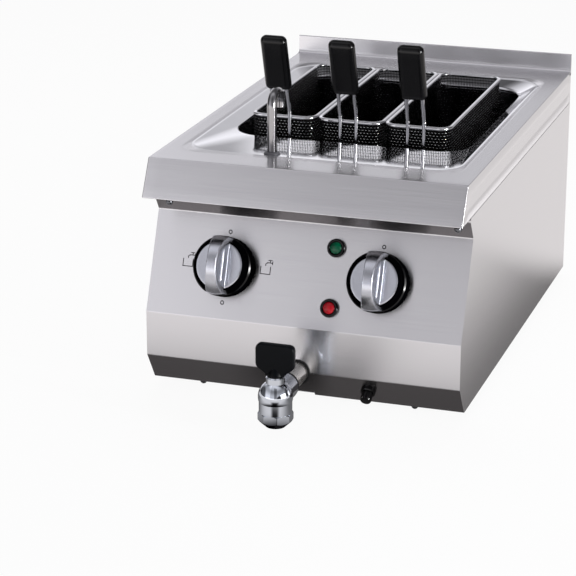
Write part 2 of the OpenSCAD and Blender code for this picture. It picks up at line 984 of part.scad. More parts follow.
module drain_grommet() {
    color(black)
    translate([drain_x, y_e, z_f])
        difference() {
            union() {
                bar_y(grommet_d, -grommet_lip, 0);
                bar_y(grommet_hole_d - loose_clear, -grommet_lip, sheet_t + 1);
            }
            bar_y(pipe_d + loose_clear, -2 * grommet_lip, 4 * grommet_lip);
        }
}

module seat_room(slack) {
    bar_y(2 * seat_r + slack, 0, seat_end);
    translate([0, 0, -outlet_top - eps])
        cylinder(d = 2 * seat_r + slack, h = outlet_top);
}

module valve_ways(d) {
    bar_y(d, 0, collar_l);
    translate([0, 0, -valve_d])
        cylinder(d = d, h = valve_d);
}

module valve_body() {
    color(chrome)
    at_valve()
        difference() {
            union() {
                intersection() {
                    sphere(r = valve_r, $fn = 96);
                    translate([0, 0, -outlet_top])
                        cylinder(r = 2 * valve_r, h = outlet_top + gland_low);
                }
                translate([0, 0, -outlet_top])
                    cylinder(r = valve_r - 1, h = outlet_top - 4);
                bar_y(collar_d, 0, collar_l - 3);
                translate([0, collar_l - 3, 0])
                    rotate([-90, 0, 0])
                        cylinder(d1 = collar_d, d2 = collar_d - 3, h = 3);
            }
            translate([0, 0, -outlet_low])
                cylinder(r = valve_r + 1.5, h = outlet_low - outlet_top);
            sphere(r = cavity_r);
            seat_room(slide_clear);
            valve_ways(ball_bore_d);
            bar_y(pipe_d + loose_clear, pipe_end_y - valve_y, collar_l + 1);
            cylinder(d = stem_d + 2 * slide_clear, h = valve_d);
        }
}

module inlet_washer() {
    color(black)
    at_valve()
        difference() {
            bar_y(collar_d - 1, collar_l, collar_l + 2);
            bar_y(pipe_d + loose_clear, 0, 2 * collar_l);
        }
}

module gland_nut() {
    color(chrome)
    at_valve()
        rotate_extrude()
            polygon([
                [stem_d / 2 + slide_clear, gland_low], [gland_d / 2, gland_low],
                [gland_d / 2, gland_top - 1.5], [gland_d / 2 - 1.5, gland_top],
                [stem_d / 2 + slide_clear, gland_top]
            ]);
}

module outlet_nut() {
    facets = 8;
    straight = outlet_top + (outlet_low - outlet_top) / 2;
    color(chrome)
    at_valve()
        difference() {
            intersection() {
                translate([0, 0, -outlet_low])
                    rotate([0, 0, 180 / facets])
                        cylinder(r = (valve_r - 1) / cos(180 / facets), h = outlet_low - outlet_top, $fn = facets);
                rotate_extrude()
                    polygon([
                        [0, -outlet_top], [valve_r - 0.6, -outlet_top], [valve_r + 0.5, -outlet_top - 1.5],
                        [valve_r + 0.5, -straight], [outlet_d / 2 + 4, -outlet_low], [0, -outlet_low]
                    ]);
            }
            translate([0, 0, -outlet_low - 1])
                cylinder(d = outlet_d, h = outlet_low);
        }
}

module valve_seats() {
    color("#f2f0ea")
    at_valve()
        difference() {
            seat_room(0);
            sphere(r = ball_r + 3 * slide_clear);
            valve_ways(ball_bore_d);
        }
}

module valve_ball() {
    color(chrome)
    at_valve()
        difference() {
            sphere(r = ball_r);
            translate([0, 0, -ball_d])
                cylinder(d = ball_bore_d - 2, h = ball_d);
            rotate([0, 90, 0])
                cylinder(d = ball_bore_d - 2, h = ball_d);
            translate([0, 0, stem_low])
                cylinder(d = stem_d, h = ball_d);
        }
}

module valve_stem() {
    color(satin)
    at_valve()
        translate([0, 0, stem_low])
            cylinder(d = stem_d, h = stem_top - stem_low);
}

module drain_handle() {
    corner = 7;
    top = handle_low + handle_h;
    color(black)
    at_valve()
        difference() {
            union() {
                rotate([90, 0, 0])
                    linear_extrude(handle_t, center = true) {
                        polygon([
                            [-handle_neck_w / 2, handle_low], [handle_neck_w / 2, handle_low],
                            [handle_neck_w / 2, handle_low + handle_neck_h],
                            [handle_w / 2, handle_shoulder], [handle_w / 2, top - corner],
                            [-handle_w / 2, top - corner], [-handle_w / 2, handle_shoulder],
                            [-handle_neck_w / 2, handle_low + handle_neck_h]
                        ]);
                        translate([-handle_w / 2 + corner, handle_shoulder])
                            square([handle_w - 2 * corner, top - handle_shoulder]);
                        for (x = [-1, 1])
                            translate([x * (handle_w / 2 - corner), top - corner])
                                circle(corner);
                    }
                translate([0, 0, handle_low])
                    cylinder(d1 = handle_hub_d, d2 = handle_t + 2, h = handle_h / 2);
            }
            translate([0, 0, handle_low - 1])
                cylinder(d = stem_d, h = stem_top - handle_low + 1);
        }
}

// Safety thermostat with its reset button

module safety_thermostat() {
    color("#2b2b30")
    on_bevel(reset_x, reset_down)
        difference() {
            union() {
                translate([-thermostat_size.x / 2, -thermostat_size.y / 2, -sheet_t - thermostat_size.z])
                    cube(thermostat_size);
                translate([0, 0, -sheet_t - 1])
                    cylinder(d = reset_barrel_d, h = sheet_t + 1);
            }
            translate([0, 0, -sheet_t - thermostat_size.z / 2])
                cylinder(d = reset_pin_d + 2 * loose_clear, h = thermostat_size.z);
        }
}

module reset_collar() {
    color(black)
    on_bevel(reset_x, reset_down)
        rotate_extrude()
            polygon([
                [reset_d / 2 + rest_clear, 0], [reset_collar_d / 2, 0],
                [reset_collar_d / 2, reset_collar_h - 1], [reset_collar_d / 2 - 1, reset_collar_h],
                [reset_d / 2 + rest_clear, reset_collar_h]
            ]);
}

module reset_button() {
    head_low = reset_travel + 0.5;
    pin_low = reset_travel + 1 - sheet_t - thermostat_size.z / 2;
    color(black)
    on_bevel(reset_x, reset_down) {
        rotate_extrude()
            polygon([
                [0, head_low], [reset_d / 2, head_low], [reset_d / 2, reset_out - 2.5],
                [reset_d / 2 - 0.8, reset_out - 0.8], [reset_d / 2 - 2.5, reset_out], [0, reset_out]
            ]);
        translate([0, 0, pin_low])
            cylinder(d = reset_pin_d, h = head_low - pin_low + 1);
    }
}

module safety_bulb() {
    back = sheet_t + thermostat_size.z;
    start = [
        reset_x,
        y_e + reset_down * sin(bevel_tilt) + back * cos(bevel_tilt),
        z_f - reset_down * cos(bevel_tilt) + back * sin(bevel_tilt)
    ];
    color(copper) {
        route([start, [reset_x, tank_y0 - 40, start.z], [reset_x, tank_y0 - 40, bulb_z],
               [reset_x, tank_y0 - 4, bulb_z]], capillary_d, 4 * capillary_d);
        translate([reset_x, tank_y0, bulb_z]) {
            bar_y(bulb_d + 8, -sheet_t - 6, -sheet_t);
            bar_y(bulb_d, -sheet_t - 3, bulb_l);
        }
    }
}

// Electric parts behind the well

module contactor() {
    size = contactor_size;
    margin = size.x / 12;
    color("#45464b")
    translate([contactor_x, unit_d - sheet_t - contactor_gap - size.y, base_z]) {
        cube(size);
        translate([margin, 3 * margin, size.z])
            cube([size.x - 2 * margin, size.y - 6 * margin, contactor_top_h]);
    }
}

module terminal_block() {
    color("#e6e2d6")
    translate([gland_x - (terminal_ways - 1.5) * terminal_pitch, unit_d - terminal_gap - terminal_d, base_z])
        difference() {
            cube([terminal_ways * terminal_pitch, terminal_d, terminal_h]);
            for (i = [0 : terminal_ways - 1], y = [1, 3])
                translate([(i + 0.5) * terminal_pitch, y * terminal_d / 4, 0.6 * terminal_h])
                    cylinder(d = terminal_d / 4.6, h = terminal_h);
        }
}

module cable_gland() {
    color(black)
    translate([gland_x, unit_d, inlet_z])
        difference() {
            union() {
                bar_y(cable_d + 5, -sheet_t - 10, 6);
                rotate([-90, 0, 0])
                    cylinder(d = gland_body_d, h = 6, $fn = 6);
                bar_y(gland_body_d - 3, 6, 16);
                translate([0, -sheet_t, 0])
                    rotate([90, 0, 0])
                        cylinder(d = gland_body_d, h = 5, $fn = 6);
            }
            bar_y(cable_d, -60, 60);
        }
}

// Water supply

module spout() {
    color(polished)
    translate([spout_x, spout_y, 0]) {
        translate([0, 0, spout_z - spout_tail])
            cylinder(r = spout_r, h = spout_tail + spout_rise);
        translate([0, spout_bend, spout_z + spout_rise])
            rotate([90, 0, 90])
                rotate_extrude(angle = 180)
                    translate([spout_bend, 0])
                        circle(spout_r);
        translate([0, 2 * spout_bend, spout_z + spout_rise - spout_r])
            difference() {
                cylinder(r = spout_r, h = spout_r);
                translate([0, 0, -1])
                    cylinder(r = spout_r - 1.2, h = spout_r);
            }
    }
}

module spout_gasket() {
    color(black)
    translate([spout_x, spout_y, spout_z])
        rotate([-atan(recess_drop / front_slope), 0, 0])
            rotate_extrude()
                polygon([
                    [spout_r + loose_clear, 0], [gasket_d / 2, 0], [gasket_d / 2, gasket_t - 1.5],
                    [gasket_d / 2 - 2, gasket_t], [spout_r + loose_clear, gasket_t]
                ]);
}

module spout_feed() {
    start = [fill_knob_x, spout_y, valve_port_z + valve_port_out];
    foot = [spout_x, spout_y, spout_z - spout_tail];
    turn_z = foot.z - 2 * tube_bend_r;
    color(copper) {
        route([start, [start.x, start.y, turn_z], [foot.x, foot.y, turn_z], foot], spout_d, tube_bend_r);
        translate(foot - [0, 0, 8])
            cylinder(d = spout_d + 8, h = 8, $fn = 6);
    }
}

module supply_pipe() {
    color(copper)
    route([
        [inlet_x, unit_d - sheet_t - 2, inlet_z], [inlet_x, spout_y, inlet_z],
        [inlet_x, spout_y, valve_port_z - valve_port_out]
    ], spout_d, tube_bend_r);
}

module water_inlet() {
    color(brass)
    translate([inlet_x, unit_d, inlet_z])
        difference() {
            union() {
                rotate([-90, 0, 0])
                    cylinder(d = inlet_d + 8, h = inlet_nut_t, $fn = 6);
                bar_y(inlet_d, inlet_nut_t, inlet_out);
                bar_y(inlet_d - 1, -sheet_t, inlet_nut_t);
                translate([0, -sheet_t, 0])
                    rotate([90, 0, 0])
                        cylinder(d = inlet_d + 8, h = inlet_socket + 2, $fn = 6);
            }
            bar_y(inlet_d - 7, 0, inlet_out + 1);
            bar_y(spout_d + 2 * slide_clear, -sheet_t - inlet_socket - 3, -sheet_t - 2);
        }
}

// Baskets, drawn round the middle of their floor

module at_basket(place) {
    translate([place * basket_pitch, basket_y, basket_z])
        children();
}

module basket_shell(place) {
    color("#6f7074")
    at_basket(place)
        difference() {
            linear_extrude(basket_h)
                rounded_rect(basket_w, basket_l, basket_corner_r);
            translate([0, 0, mesh_t])
                linear_extrude(basket_h)
                    rounded_rect(basket_w - 2 * mesh_t, basket_l - 2 * mesh_t, basket_corner_r - mesh_t);
        }
}

// One wire bent round the rim
module rim_wire(w, l, r) {
    for (x = [-1, 1])
        translate([x * w / 2, 0, 0])
            bar_y(wire_d, -l / 2 + r, l / 2 - r);
    for (y = [-1, 1])
        bar([-w / 2 + r, y * l / 2, 0], [w / 2 - r, y * l / 2, 0], wire_d);
    for (x = [-1, 1], y = [-1, 1])
        translate([x * (w / 2 - r), y * (l / 2 - r), 0])
            rotate([0, 0, x > 0 ? (y > 0 ? 0 : 270) : (y > 0 ? 90 : 180)])
                rotate_extrude(angle = 90)
                    translate([r, 0])
                        circle(wire_r);
}

// The handle's wires leave the front wall above the rim and lean forward
handle_y = -basket_l / 2 - wire_r;
handle_knee = basket_h + 2 * wire_d;
handle_wire_l = handle_free + grip_l - grip_t;

module at_handle() {
    translate([0, handle_y, handle_knee])
        rotate([handle_lean, 0, 0])
            children();
}

// One wire runs down the front wall, across and up again, and a knuckle joins each leaning end
function handle_leg(x) = [[x, handle_y, handle_knee], [x, handle_y, basket_h - handle_down]];

module basket_frame(place) {
    inset = mesh_t / 2;
    color(polished)
    at_basket(place) {
        translate([0, 0, basket_top])
            rim_wire(basket_w - 2 * inset, basket_l - 2 * inset, basket_corner_r - inset);
        route(concat(handle_leg(-handle_pitch / 2), reversed(handle_leg(handle_pitch / 2))), wire_d, wire_d);
        at_handle()
            for (x = [-1, 1])
                translate([x * handle_pitch / 2, 0, 0]) {
                    cylinder(d = wire_d, h = handle_wire_l);
                    sphere(d = wire_d + 0.6);
                }
    }
}

// The grip is a flat bar with fully rounded edges
module basket_grip(place) {
    half_w = (grip_w - grip_t) / 2;
    low = handle_free + grip_t / 2;
    high = handle_free + grip_l - grip_t / 2;
    color(black)
    at_basket(place)
        at_handle()
            difference() {
                union() {
                    translate([-half_w, -grip_t / 2, low])
                        cube([2 * half_w, grip_t, high - low]);
                    for (x = [-1, 1]) {
                        bar([x * half_w, 0, low], [x * half_w, 0, high], grip_t);
                        translate([x * half_w, 0, low])
                            sphere(d = grip_t);
                        translate([x * half_w, 0, high])
                            sphere(d = grip_t);
                    }
                    for (z = [low, high])
                        bar([-half_w, 0, z], [half_w, 0, z], grip_t);
                }
                for (x = [-1, 1])
                    translate([x * handle_pitch / 2, 0, 0])
                        cylinder(d = wire_d, h = handle_wire_l);
            }
}

module place() {
    translate([0, origin_y, 0])
        children();
}

place() {
    worktop();
    tank();
    false_bottom();
    front_panel();
    side_panel(-1);  // left_side_panel
    side_panel(1);  // right_side_panel
    back_panel();
    base_plate();
    feet();
    notch_plate();
    panel_screws();
    on_panel(fill_axis.x, fill_axis.y) knob_skirt();  // fill_knob_skirt
    on_panel(fill_axis.x, fill_axis.y) knob_cap();  // fill_knob_cap
    on_panel(fill_axis.x, fill_axis.y) spindle();  // fill_spindle
    fill_valve();
    on_panel(heat_axis.x, heat_axis.y) knob_skirt();  // heat_knob_skirt
    on_panel(heat_axis.x, heat_axis.y) knob_cap();  // heat_knob_cap
    on_panel(heat_axis.x, heat_axis.y) spindle();  // heat_spindle
    heat_switch();
    lamp_bezel(lamp_down[0]);  // green_lamp_bezel
    lamp_lens(lamp_down[0], "#0f5a45");  // green_lamp_lens
    lamp_bezel(lamp_down[1]);  // red_lamp_bezel
    lamp_lens(lamp_down[1], "#b3161f");  // red_lamp_lens
    lamp_holders();
    drain_elbow();
    drain_pipe();
    drain_grommet();
    valve_body();
    inlet_washer();
    gland_nut();
    outlet_nut();
    valve_seats();
    valve_ball();
    valve_stem();
    drain_handle();
    safety_thermostat();
    reset_collar();
    reset_button();
    safety_bulb();
    heating_element();
    element_flange();
    contactor();
    terminal_block();
    cable_gland();
    spout();
    spout_gasket();
    spout_feed();
    supply_pipe();
    water_inlet();
    basket_shell(-1);  // left_basket
    basket_frame(-1);  // left_basket_frame
    basket_grip(-1);  // left_basket_grip
    basket_shell(0);  // middle_basket
    basket_frame(0);  // middle_basket_frame
    basket_grip(0);  // middle_basket_grip
    basket_shell(1);  // right_basket
    basket_frame(1);  // right_basket_frame
    basket_grip(1);  // right_basket_grip
}
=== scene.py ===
"""Looks of the countertop pasta cooker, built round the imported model.

Pieces are drawn in millimetres. The camera, the floor and the lamps are placed in metres.
"""
import json
import math

import bpy
import numpy as np
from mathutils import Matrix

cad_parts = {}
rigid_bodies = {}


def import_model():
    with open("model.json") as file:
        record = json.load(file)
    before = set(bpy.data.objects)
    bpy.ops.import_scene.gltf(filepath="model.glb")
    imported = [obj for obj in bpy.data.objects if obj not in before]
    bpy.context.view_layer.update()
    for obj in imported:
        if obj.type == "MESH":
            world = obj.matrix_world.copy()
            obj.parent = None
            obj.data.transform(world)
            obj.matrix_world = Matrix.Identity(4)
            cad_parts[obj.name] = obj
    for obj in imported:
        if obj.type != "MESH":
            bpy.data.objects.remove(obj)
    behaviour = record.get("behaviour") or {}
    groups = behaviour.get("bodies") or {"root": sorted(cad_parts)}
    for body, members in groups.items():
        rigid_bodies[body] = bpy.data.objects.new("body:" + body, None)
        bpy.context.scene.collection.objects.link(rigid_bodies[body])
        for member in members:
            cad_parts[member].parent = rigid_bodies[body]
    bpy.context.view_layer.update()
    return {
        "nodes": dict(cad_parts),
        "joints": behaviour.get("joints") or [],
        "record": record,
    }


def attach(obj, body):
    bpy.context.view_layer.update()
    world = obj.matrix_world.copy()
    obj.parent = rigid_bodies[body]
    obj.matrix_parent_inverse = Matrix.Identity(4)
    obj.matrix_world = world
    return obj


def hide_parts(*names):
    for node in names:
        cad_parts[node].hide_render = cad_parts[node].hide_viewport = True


for leftover in list(bpy.data.objects):
    bpy.data.objects.remove(leftover)

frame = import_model()
nodes = frame["nodes"]
joints = {joint["name"]: joint for joint in frame["joints"]}
scene = bpy.context.scene

MM = 0.001
AROUND = 2 * math.pi


# Colours and nodes

def to_linear(code):
    """An sRGB hex colour as linear RGBA: each channel goes through the sRGB curve backwards."""
    srgb = np.array([int(code[i:i + 2], 16) for i in (1, 3, 5)]) / 255
    low = srgb / 12.92
    high = ((srgb + 0.055) / 1.055) ** 2.4
    return (*np.where(srgb <= 0.04045, low, high).tolist(), 1.0)


def add(tree, kind, sockets=None, links=None, **settings):
    """Adds one node: settings are its attributes, sockets its constants, links what feeds it."""
    node = tree.nodes.new(kind)
    for name, value in settings.items():
        setattr(node, name, value)
    for name, value in (sockets or {}).items():
        node.inputs[name].default_value = value
    for name, source in (links or {}).items():
        tree.links.new(source, node.inputs[name])
    return node


def feed(tree, kind, values, **settings):
    """Adds one node whose inputs, by number, are constants or sockets of other nodes."""
    constants = {i: value for i, value in values.items() if isinstance(value, float)}
    links = {i: value for i, value in values.items() if i not in constants}
    return add(tree, kind, constants, links, **settings)


def calculate(tree, operation, *values):
    """One step of arithmetic on sockets and numbers."""
    return feed(tree, "ShaderNodeMath", dict(enumerate(values)), operation=operation).outputs["Value"]


def product(tree, *values):
    """Sockets multiplied one after the other."""
    total = values[0]
    for value in values[1:]:
        total = calculate(tree, "MULTIPLY", total, value)
    return total


def choose(tree, switch, off, on):
    """off where the switch is 0 and on where it is 1."""
    return feed(tree, "ShaderNodeMix", {0: switch, 2: off, 3: on}).outputs[0]


def ramp(tree, value, start, end, low=0.0, high=1.0, smooth=False):
    """low while the value is short of start, high once it is past end, and a slope in between."""
    span = {"From Min": start, "From Max": end, "To Min": low, "To Max": high}
    slope = "SMOOTHSTEP" if smooth else "LINEAR"
    return add(tree, "ShaderNodeMapRange", span, {"Value": value}, interpolation_type=slope).outputs["Result"]


# Surfaces

def grid(rows, columns, closed):
    """Quads between rows of points. Each row is a closed line, and closed joins the last row to the first."""
    i, j = np.meshgrid(np.arange(rows - 1 + closed), np.arange(columns), indexing="ij")
    below, beside = (i + 1) % rows, (j + 1) % columns
    corners = [i * columns + j, i * columns + beside, below * columns + beside, below * columns + j]
    return np.stack(corners, -1).reshape(-1, 4)


def outward(points, groups):
    """Faces of a closed shell, turned so that the volume that they enclose counts as positive."""
    volume = 0.0
    for group in groups:
        first = points[group[:, 0]]
        for k in range(1, group.shape[1] - 1):
            volume += np.einsum("ij,ij->", first, np.cross(points[group[:, k]], points[group[:, k + 1]]))
    return groups if volume > 0 else [group[:, ::-1] for group in groups]


def parabola(start, corner, end, t):
    """The point at t of a parabola that leaves start and reaches end along the legs of a corner."""
    return (1 - t) ** 2 * start + 2 * t * (1 - t) * corner + t ** 2 * end


def rounded(corners, cuts, steps=6):
    """A closed line whose corners become parabolas, each leaving the corner's legs at its cut length."""
    corners = np.asarray(corners, float)
    cuts = np.asarray(cuts, float)[:, None]
    to_last = np.roll(corners, 1, 0) - corners
    to_next = np.roll(corners, -1, 0) - corners
    start = corners + cuts * to_last / np.linalg.norm(to_last, axis=1, keepdims=True)
    end = corners + cuts * to_next / np.linalg.norm(to_next, axis=1, keepdims=True)
    t = np.linspace(0, 1, steps)[None, :, None]
    return parabola(start[:, None], corners[:, None], end[:, None], t).reshape(-1, 2)


def turned(profile, steps, lobes=None):
    """A closed profile of radius and height carried round the Z axis.

    lobes may give a factor for the radius at each angle and radius.
    """
    angle = np.arange(steps) * AROUND / steps
    radius = np.repeat(profile[None, :, 0], steps, 0)
    if lobes is not None:
        radius = radius * lobes(angle[:, None], radius)
    height = np.repeat(profile[None, :, 1], steps, 0)
    points = np.stack([radius * np.cos(angle)[:, None], radius * np.sin(angle)[:, None], height], -1)
    points = points.reshape(-1, 3)
    return points, outward(points, [grid(steps, len(profile), True)])


def capped(lines):
    """A closed line carried along a path, as rows of points, with a flat face at each end."""
    rows, columns, _ = lines.shape
    points = lines.reshape(-1, 3)
    ends = np.arange(columns)
    groups = [grid(rows, columns, False), ends[None, ::-1], ends[None] + (rows - 1) * columns]
    return points, outward(points, groups)


def tube(path, radius, side, sides):
    """A round section carried along a path. side is a direction that the path never takes."""
    path = np.asarray(path, float)
    along = np.gradient(path, axis=0)
    along /= np.linalg.norm(along, axis=1, keepdims=True)
    across = np.cross(along, side)
    across /= np.linalg.norm(across, axis=1, keepdims=True)
    over = np.cross(across, along)
    angle = np.arange(sides) * AROUND / sides
    ring = np.cos(angle)[None, :, None] * across[:, None] + np.sin(angle)[None, :, None] * over[:, None]
    radius = np.broadcast_to(np.asarray(radius, float), len(path))[:, None, None]
    return capped(path[:, None] + radius * ring)


def placed(shell, origin, axes):
    """A shell drawn in a local frame, moved to the row frame. The rows of axes are the local X, Y and Z."""
    points, groups = shell
    return np.asarray(origin) + points @ np.asarray(axes), groups


def make_piece(name, shells, body, material, replaced=(), crease=35, crest=None):
    """One object at the origin from shells in millimetres, smooth but for edges sharper than the crease.

    crest is a value per point that the material may read.
    """
    corners, sizes, first = [], [], 0
    for points, groups in shells:
        for group in groups:
            corners.append((group + first).ravel())
            sizes.append(np.full(len(group), group.shape[1]))
        first += len(points)
    points = np.concatenate([points for points, _ in shells])
    corners, sizes = np.concatenate(corners), np.concatenate(sizes)
    mesh = bpy.data.meshes.new(name)
    mesh.vertices.add(len(points))
    mesh.vertices.foreach_set("co", (points * MM).ravel())
    mesh.loops.add(len(corners))
    mesh.loops.foreach_set("vertex_index", corners.astype(np.int32))
    mesh.polygons.add(len(sizes))
    mesh.polygons.foreach_set("loop_start", (np.cumsum(sizes) - sizes).astype(np.int32))
    mesh.polygons.foreach_set("use_smooth", np.ones(len(sizes), bool))
    mesh.update(calc_edges=True)
    if crest is not None:
        values = mesh.attributes.new("crest", "FLOAT", "POINT")
        values.data.foreach_set("value", crest.astype(np.float32))
    if crease:
        mesh.set_sharp_from_angle(angle=math.radians(crease))
    mesh.materials.append(material)
    piece = bpy.data.objects.new(name, mesh)
    scene.collection.objects.link(piece)
    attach(piece, body)
    if replaced:
        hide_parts(*replaced)
    return piece


# Materials

def finish(name, colours, metallic, roughness, grain, bump=0.0, **sockets):
    """A material whose colour and roughness drift between two values each, on a noise.

    grain is the size of the noise's marks in millimetres along X, Y and Z. The same noise lifts
    the surface by bump millimetres. sockets are further constants of the shader.
    """
    material = bpy.data.materials.new(name)
    material.use_nodes = True
    tree = material.node_tree
    shader = tree.nodes["Principled BSDF"]
    shader.inputs["Metallic"].default_value = metallic
    for socket, value in sockets.items():
        shader.inputs[socket.replace("_", " ")].default_value = value
    coords = add(tree, "ShaderNodeTexCoord")
    scale = [1 / (size * MM) for size in grain]
    mapping = add(tree, "ShaderNodeMapping", {"Scale": scale}, {"Vector": coords.outputs["Object"]})
    noise = add(tree, "ShaderNodeTexNoise", {"Scale": 1.0, "Detail": 3.0},
                {"Vector": mapping.outputs["Vector"]})
    marks = noise.outputs["Fac"]
    ends = {6: to_linear(colours[0]), 7: to_linear(colours[1])}
    mix = add(tree, "ShaderNodeMix", ends, {"Factor": marks}, data_type="RGBA")
    tree.links.new(mix.outputs[2], shader.inputs["Base Color"])
    tree.links.new(ramp(tree, marks, 0.0, 1.0, *roughness), shader.inputs["Roughness"])
    if bump:
        lift = add(tree, "ShaderNodeBump", {"Strength": 1.0, "Distance": bump * MM}, {"Height": marks})
        tree.links.new(lift.outputs["Normal"], shader.inputs["Normal"])
    return material


def brush(material):
    """Turns a finish into a belt-brushed one: its marks and its stretched highlights follow the grain.

    The grain runs along X, and along Y on the sides. The highlight stretches across the grain, along
    the cross product of the surface's normal with a direction just off X.
    """
    just_off_x, side_from = (1.0, 0.02, 0.0), 0.7
    tree = material.node_tree
    normal = add(tree, "ShaderNodeNewGeometry").outputs["Normal"]
    across = add(tree, "ShaderNodeVectorMath", {1: just_off_x}, {0: normal}, operation="CROSS_PRODUCT")
    even = add(tree, "ShaderNodeVectorMath", links={0: across.outputs["Vector"]}, operation="NORMALIZE")
    tree.links.new(even.outputs["Vector"], tree.nodes["Principled BSDF"].inputs["Tangent"])
    facing = add(tree, "ShaderNodeSeparateXYZ", links={"Vector": normal})
    on_side = calculate(tree, "GREATER_THAN", calculate(tree, "ABSOLUTE", facing.outputs["X"]), side_from)
    mapping = tree.nodes["Mapping"]
    place = mapping.inputs["Vector"].links[0].from_socket
    parts = add(tree, "ShaderNodeSeparateXYZ", links={"Vector": place})
    swapped = add(tree, "ShaderNodeCombineXYZ",
                  links={"X": parts.outputs["Y"], "Y": parts.outputs["X"], "Z": parts.outputs["Z"]})
    chosen = add(tree, "ShaderNodeMix", links={"Factor": on_side, 4: place, 5: swapped.outputs["Vector"]},
                 data_type="VECTOR")
    tree.links.new(chosen.outputs[1], mapping.inputs["Vector"])
    return material


def tint(material, factor, code):
    """Moves a material's colour to another one as far as a factor says."""
    tree = material.node_tree
    colour = tree.nodes["Principled BSDF"].inputs["Base Color"]
    mix = add(tree, "ShaderNodeMix", {7: to_linear(code)}, {"Factor": factor, 6: colour.links[0].from_socket},
              data_type="RGBA")
    tree.links.new(mix.outputs[2], colour)
    return material


def painted_shade_below(material, code):
    """Painted shade on folds that face down: the colour moves to a darker one on them."""
    tree = material.node_tree
    normal = add(tree, "ShaderNodeNewGeometry").outputs["Normal"]
    facing = add(tree, "ShaderNodeSeparateXYZ", links={"Vector": normal})
    return tint(material, ramp(tree, facing.outputs["Z"], -0.3, -0.5), code)


def painted_glint_on_crests(material, code):
    """Painted glint: points with a high crest value, where a woven wire stands out, move to a bright colour.
    """
    tree = material.node_tree
    crest = add(tree, "ShaderNodeAttribute", attribute_name="crest")
    return tint(material, ramp(tree, crest.outputs["Fac"], 0.35, 0.7), code)


# Stainless sheet, belt brushed: soft grey with highlights drawn out across the grain. The grain of
# a 180 grit belt is about 0.2 mm wide, drawn here as 1.5 mm so that it shows.
# The darker colour on folds that face down is painted shade.
brushed_steel = painted_shade_below(brush(finish("brushed_stainless_sheet", ("#dedde0", "#e5e4e6"), 1.0, (0.23, 0.28),
                                        (90, 1.5, 1.5), Anisotropic=0.9)), "#8e8b8d")
# Deep-drawn stainless, polished for cleaning: nearly a mirror, with faint wiping marks.
polished_steel = finish("polished_stainless", ("#d0d0d3", "#d8d8db"), 1.0, (0.05, 0.1), (30, 30, 30))
# Drawn stainless tube: satin, painted lighter than the other steels as a painted highlight, with marks along
# the pipe.
pipe_steel = finish("drawn_stainless_tube", ("#eeebe7", "#f6f4f1"), 1.0, (0.24, 0.32), (2, 25, 2))
# Bent stainless tube of the spout: painted darker than the other steels as painted shade, with marks along
# the tube.
spout_steel = finish("bent_stainless_tube", ("#8c8b8d", "#9c9b9d"), 1.0, (0.14, 0.2), (2, 2, 25))
# Die-cast zinc with satin nickel: soft, slightly blue silver.
satin_metal = finish("satin_nickel_die_casting", ("#c1c3cb", "#cbcdd4"), 1.0, (0.22, 0.28), (3, 3, 3))
# Moulded thermoset, polished mould: deep black with clear highlights.
black_gloss = finish("glossy_black_thermoset", ("#030304", "#060607"), 0.0, (0.12, 0.18), (6, 6, 6),
                     Specular_IOR_Level=0.3)
# Moulded thermoset of the knob skirts: the same with a dulled skin, so that it stays black at a slant.
black_skirt = finish("dulled_black_thermoset", ("#020203", "#040405"), 0.0, (0.3, 0.4), (6, 6, 6),
                     Specular_IOR_Level=0.0)
# Moulded thermoset of the drain lever, satin: black with a breath of blue.
black_satin = finish("satin_black_thermoset", ("#05070a", "#090c11"), 0.0, (0.3, 0.38), (7, 7, 7),
                     Specular_IOR_Level=0.1)
# Moulded nylon with a fine spark-eroded texture of about 0.5 mm.
black_matte = finish("textured_black_nylon", ("#0b0d10", "#12151a"), 0.0, (0.42, 0.55), (0.8, 0.8, 0.8),
                     0.02, Specular_IOR_Level=0.35)
# Moulded rubber: dull black with a grey bloom.
black_rubber = finish("moulded_black_rubber", ("#0c0c0d", "#18181a"), 0.0, (0.6, 0.8), (5, 5, 5), 0.01,
                      Specular_IOR_Level=0.25)
# Moulded silicone of the spout's gasket: mid grey.
grey_rubber = finish("moulded_grey_silicone", ("#55555a", "#68686d"), 0.0, (0.4, 0.55), (4, 4, 4))
# Screw heads: dull blue-grey, painted shade for the shadow under the apron.
screw_painted_shade = finish("screw_steel_painted_shade", ("#5e5f63", "#75767a"), 1.0, (0.25, 0.4), (2, 2, 2))
# Glass-filled polyamide of switches and contactors: dark grey, matt, with faint flow marks.
dark_plastic = finish("glass_filled_polyamide", ("#2a2a2e", "#36363b"), 0.0, (0.45, 0.6), (8, 8, 8))
# Terminal block polyamide: warm white and waxy.
cream_plastic = finish("natural_polyamide", ("#ddd6c4", "#e8e3d5"), 0.0, (0.4, 0.5), (6, 6, 6))
# Turned fluoropolymer: white and waxy.
white_ptfe = finish("turned_ptfe", ("#ece9e2", "#f4f2ec"), 0.0, (0.35, 0.45), (4, 1, 4))
# Bright chrome on brass: a mirror with faint water marks.
valve_chrome = finish("chromed_brass", ("#ced3dc", "#d9dee6"), 1.0, (0.02, 0.05), (14, 14, 14))
# Turned brass: yellow, with turning marks.
valve_brass = finish("turned_brass", ("#b8924a", "#cda95c"), 1.0, (0.2, 0.3), (5, 1.2, 5))
# Drawn copper tube: red, with brown tarnish in patches of about 15 mm.
copper_tube = finish("drawn_copper_tube", ("#9a5a3a", "#c98560"), 1.0, (0.22, 0.4), (15, 15, 15))
# Heating tube of heat-tinted steel: brownish grey.
element_sheath = finish("heat_tinted_steel", ("#6f675f", "#8d8880"), 1.0, (0.35, 0.5), (20, 20, 20))
# Woven stainless wire, painted near-black as painted shade, with a painted glint on each crest.
mesh_wire = painted_glint_on_crests(
    finish("woven_stainless_wire", ("#0b0b0d", "#141416"), 1.0, (0.18, 0.28), (3, 3, 3)), "#fafafb")
